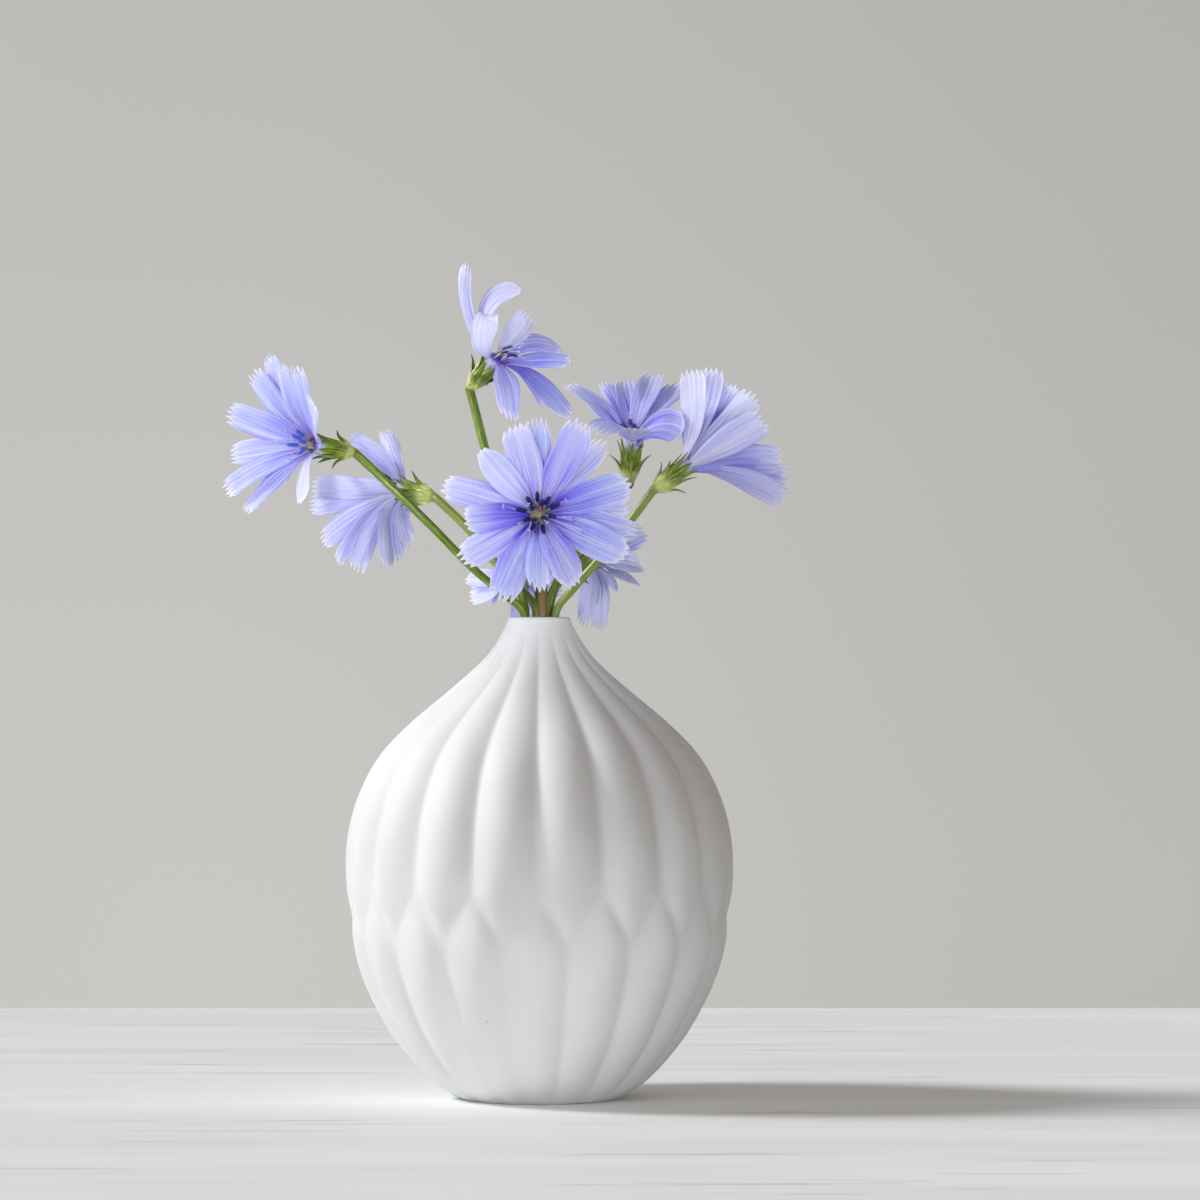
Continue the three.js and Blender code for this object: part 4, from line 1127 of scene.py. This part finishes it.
def anther_skin(bloom, settings, rng):
    """Columns that lean outwards: filament, navy tube, style with two curled arms."""
    throat, axis, right, up = head_frame(bloom)
    traits = bloom["anthers"]
    count, tint = traits["count"], traits.get("tint", 0)
    lean = np.array(traits.get("lean", (0, 0, 0)))
    tube = settings.tube_radius / MM * traits.get("tube", 1)
    style = settings.style_radius / MM
    outline = np.array([
        (0, 0.24), (FILAMENT_TO, 0.2),
        (TUBE_FROM, tube * 0.75), (FULL_FROM, tube), (FULL_TO, tube * 0.9), (TUBE_TO, tube * 0.5),
        (STYLE_FROM, style), (ARMS_FROM, style * 0.8),
    ])
    skin = Skin("along", "around", "tint")
    t = np.linspace(0, 1, COLUMN_ROWS)
    along = np.concatenate([COLUMN_SHARE * t, COLUMN_SHARE + STYLE_SHARE * t[1:]])
    radii = np.interp(along, *outline.T)
    for i in range(count):
        turn = 2 * math.pi * (i + 0.5) / count + rng.normal(0, 0.12)
        out = right * math.cos(turn) + up * math.sin(turn)
        across = np.cross(axis, out)
        inner = i % 3 == 2
        spread = traits["spread"] * (rng.uniform(0.45, 0.65) if inner else rng.uniform(0.8, 1.05))
        rise = rng.uniform(4.2, 5.2) if inner else rng.uniform(3.2, 4.4)
        foot = throat - 0.1 * axis + (0.6 if inner else 1.3) * out
        tip = throat + rise * axis + spread * out + rng.normal(0, 0.25) * across + lean
        elbow = throat + 0.5 * rise * axis + (0.3 + 0.35 * spread) * out
        forward = unit(tip - elbow)
        bend = rng.normal(0, 0.35) * across + rng.normal(0, 0.3) * out
        end = tip + rng.uniform(1.2, 2.6) * forward + bend
        free_style = bezier([tip, tip + 0.8 * forward, end], t[1:])
        path = np.vstack([bezier([foot, elbow, tip], t), free_style])
        rings = swept(path, across, radii, COLUMN_SIDES)
        skin.tube(rings, along=along[:, None], around=np.abs(circle(COLUMN_SIDES) - np.pi), tint=tint)
        add_style_arms(skin, end, unit(end - path[-4]), across, out, style, tint, rng)
    heights, reach = np.array(FILAMENT_MOUND).T
    mound = lumpy_rings(bloom, heights, reach * traits.get("mass", 1), MOUND_SIDES, 0.16, 7, 2.5)
    skin.tube(mound, along=0, around=np.abs(circle(MOUND_SIDES) - np.pi), tint=tint)
    return skin


# ---- operators -----------------------------------------------------------------------------


def finish_piece(piece, node):
    """Makes a piece ride on the frame and stand for its node, whose part it hides."""
    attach(piece, "root")
    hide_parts(node)


def seeded(name, kind):
    """Random numbers that are the same on each run for a piece."""
    return np.random.default_rng([sum(ord(c) * (i + 1) for i, c in enumerate(name)), kind])


def build_each_bloom(make_skin, settings, material, kind, ending, nodes):
    """One piece for each bloom, which stands for the node of that bloom."""
    for name, bloom in BLOOMS.items():
        skin = make_skin(bloom, settings, seeded(name, kind))
        finish_piece(skin.object(f"{name}_{ending}", material), f"{nodes}_{name}")


class CHICORY_OT_camera(bpy.types.Operator):
    """Add the level long-lens camera in front of the vase"""

    bl_idname = "chicory.camera"
    bl_label = "Camera"

    def execute(self, context):
        data = bpy.data.cameras.new("camera")
        data.lens = context.scene.chicory_stage.focal_length
        data.sensor_width = 36
        data.clip_start, data.clip_end = 0.05, 20
        camera = bpy.data.objects.new("camera", data)
        camera.location = np.array(CAMERA_PLACE) * MM
        camera.rotation_euler = (math.pi / 2, 0, 0)
        context.scene.collection.objects.link(camera)
        context.scene.camera = camera
        return {"FINISHED"}


class CHICORY_OT_vase(bpy.types.Operator):
    """Build the ribbed bisque bud vase and finish the water in it"""

    bl_idname = "chicory.vase"
    bl_label = "Bud vase"

    def execute(self, context):
        settings = context.scene.bud_vase
        skin = Skin()
        skin.tube(vase_rings(settings))
        finish_piece(skin.object("bud_vase", bisque_material(settings)), "vase")
        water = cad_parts["water"]
        water.data.materials.clear()
        water.data.materials.append(water_material(settings))
        return {"FINISHED"}


class CHICORY_OT_stems(bpy.types.Operator):
    """Build the stems with their green heads and bracts"""

    bl_idname = "chicory.stems"
    bl_label = "Stems"

    def execute(self, context):
        settings = context.scene.chicory_stems
        material = stem_material(settings)
        build_each_bloom(stem_skin, settings, material, 1, "stalk", "stem")
        return {"FINISHED"}


class CHICORY_OT_florets(bpy.types.Operator):
    """Build the blue strap-shaped florets"""

    bl_idname = "chicory.florets"
    bl_label = "Florets"

    def execute(self, context):
        settings = context.scene.chicory_florets
        material = petal_material(settings)
        build_each_bloom(floret_skin, settings, material, 2, "rays", "florets")
        return {"FINISHED"}


class CHICORY_OT_anthers(bpy.types.Operator):
    """Build the navy anther tubes and the forked styles"""

    bl_idname = "chicory.anthers"
    bl_label = "Anthers"

    def execute(self, context):
        settings = context.scene.chicory_anthers
        material = anther_material(settings)
        build_each_bloom(anther_skin, settings, material, 3, "stamens", "anthers")
        return {"FINISHED"}


def sheet(name, corners, material):
    """A flat stage sheet between four corners in metres."""
    mesh = bpy.data.meshes.new(name)
    mesh.from_pydata(corners, [], [(0, 1, 2, 3)])
    mesh.materials.append(material)
    piece = bpy.data.objects.new(name, mesh)
    bpy.context.scene.collection.objects.link(piece)


def lamp(name, kind, energy, aim, place=(0, 0, 0), **facts):
    """A lamp turned to shine along a direction."""
    data = bpy.data.lights.new(name, kind)
    data.energy = energy
    for key, value in facts.items():
        setattr(data, key, value)
    made = bpy.data.objects.new(name, data)
    made.location = place
    made.rotation_euler = Vector(aim).to_track_quat("-Z", "Y").to_euler()
    bpy.context.scene.collection.objects.link(made)


def sky_light(tree):
    """World light by direction: brightest from the front, cool from the left, warm from the right."""
    sky = Nodes(tree)
    x, y, z = sky.node("SeparateXYZ", sky.node("TexCoord").outputs["Generated"]).outputs
    across, above = sky.ramp(x, -0.7, 0.8, 0.22, 0.10), sky.ramp(z, 0.1, 0.9, 0.0, 0.05)
    background = tree.nodes["Background"]
    sky.feed(background.inputs["Color"], sky.over(COOL_SKY, WARM_SKY, sky.ramp(x, -0.4, 0.6)))
    strength = sky.plus(across, above, sky.ramp(y, -0.5, -1.0, 0.0, 0.43))
    sky.feed(background.inputs["Strength"], strength)


class CHICORY_OT_stage(bpy.types.Operator):
    """Add the table, the wall, the low sun from the left, the soft fill and the spots"""

    bl_idname = "chicory.stage"
    bl_label = "Stage"

    def execute(self, context):
        settings = context.scene.chicory_stage
        sheet("table", TABLE_CORNERS, table_material(settings))
        sheet("wall", WALL_CORNERS, wall_material(settings))
        level, fall = math.cos(KEY_ELEVATION), math.sin(KEY_ELEVATION)
        aim = (level * math.cos(KEY_AZIMUTH), -level * math.sin(KEY_AZIMUTH), -fall)
        lamp("key", "SUN", settings.key, aim, angle=settings.key_size, color=KEY_COLOUR)
        lamp("fill", "AREA", **SOFT_FILL)
        watts = {"back_spot": settings.back_spot, "front_spot": settings.front_spot, **SPOT_WATTS}
        for name, (aim, place, beam) in SPOTS.items():
            lamp(name, "SPOT", watts[name], aim, place, shadow_soft_size=0.04, **beam)
        world = bpy.data.worlds.new("studio")
        context.scene.world = world
        world.use_nodes = True
        sky_light(world.node_tree)
        context.scene.view_settings.view_transform = "Standard"
        return {"FINISHED"}


OPERATORS = (
    CHICORY_OT_camera, CHICORY_OT_vase, CHICORY_OT_stems, CHICORY_OT_florets, CHICORY_OT_anthers,
    CHICORY_OT_stage,
)


class CHICORY_PT_panel(bpy.types.Panel):
    """Lists the operators and their settings"""

    bl_idname = "CHICORY_PT_panel"
    bl_label = "Chicory in a Bud Vase"
    bl_space_type = "VIEW_3D"
    bl_region_type = "UI"
    bl_category = "Chicory"

    def draw(self, context):
        for operator in OPERATORS:
            self.layout.operator(operator.bl_idname)
        for key, group in SETTINGS.items():
            box = self.layout.box()
            box.label(text=key.replace("_", " ").capitalize())
            for name in group.__annotations__:
                box.prop(getattr(context.scene, key), name)


CLASSES = (*SETTINGS.values(), *OPERATORS, CHICORY_PT_panel)


def register():
    """Register the classes and hang the settings on the scene."""
    for made in CLASSES:
        bpy.utils.register_class(made)
    for key, group in SETTINGS.items():
        setattr(bpy.types.Scene, key, PointerProperty(type=group))


def unregister():
    """Take the settings and the classes away again."""
    for key in SETTINGS:
        delattr(bpy.types.Scene, key)
    for made in reversed(CLASSES):
        bpy.utils.unregister_class(made)


def main():
    """Build every piece in order."""
    register()
    for operator in OPERATORS:
        group, name = operator.bl_idname.split(".")
        getattr(getattr(bpy.ops, group), name)()


if __name__ == "__main__":
    main()
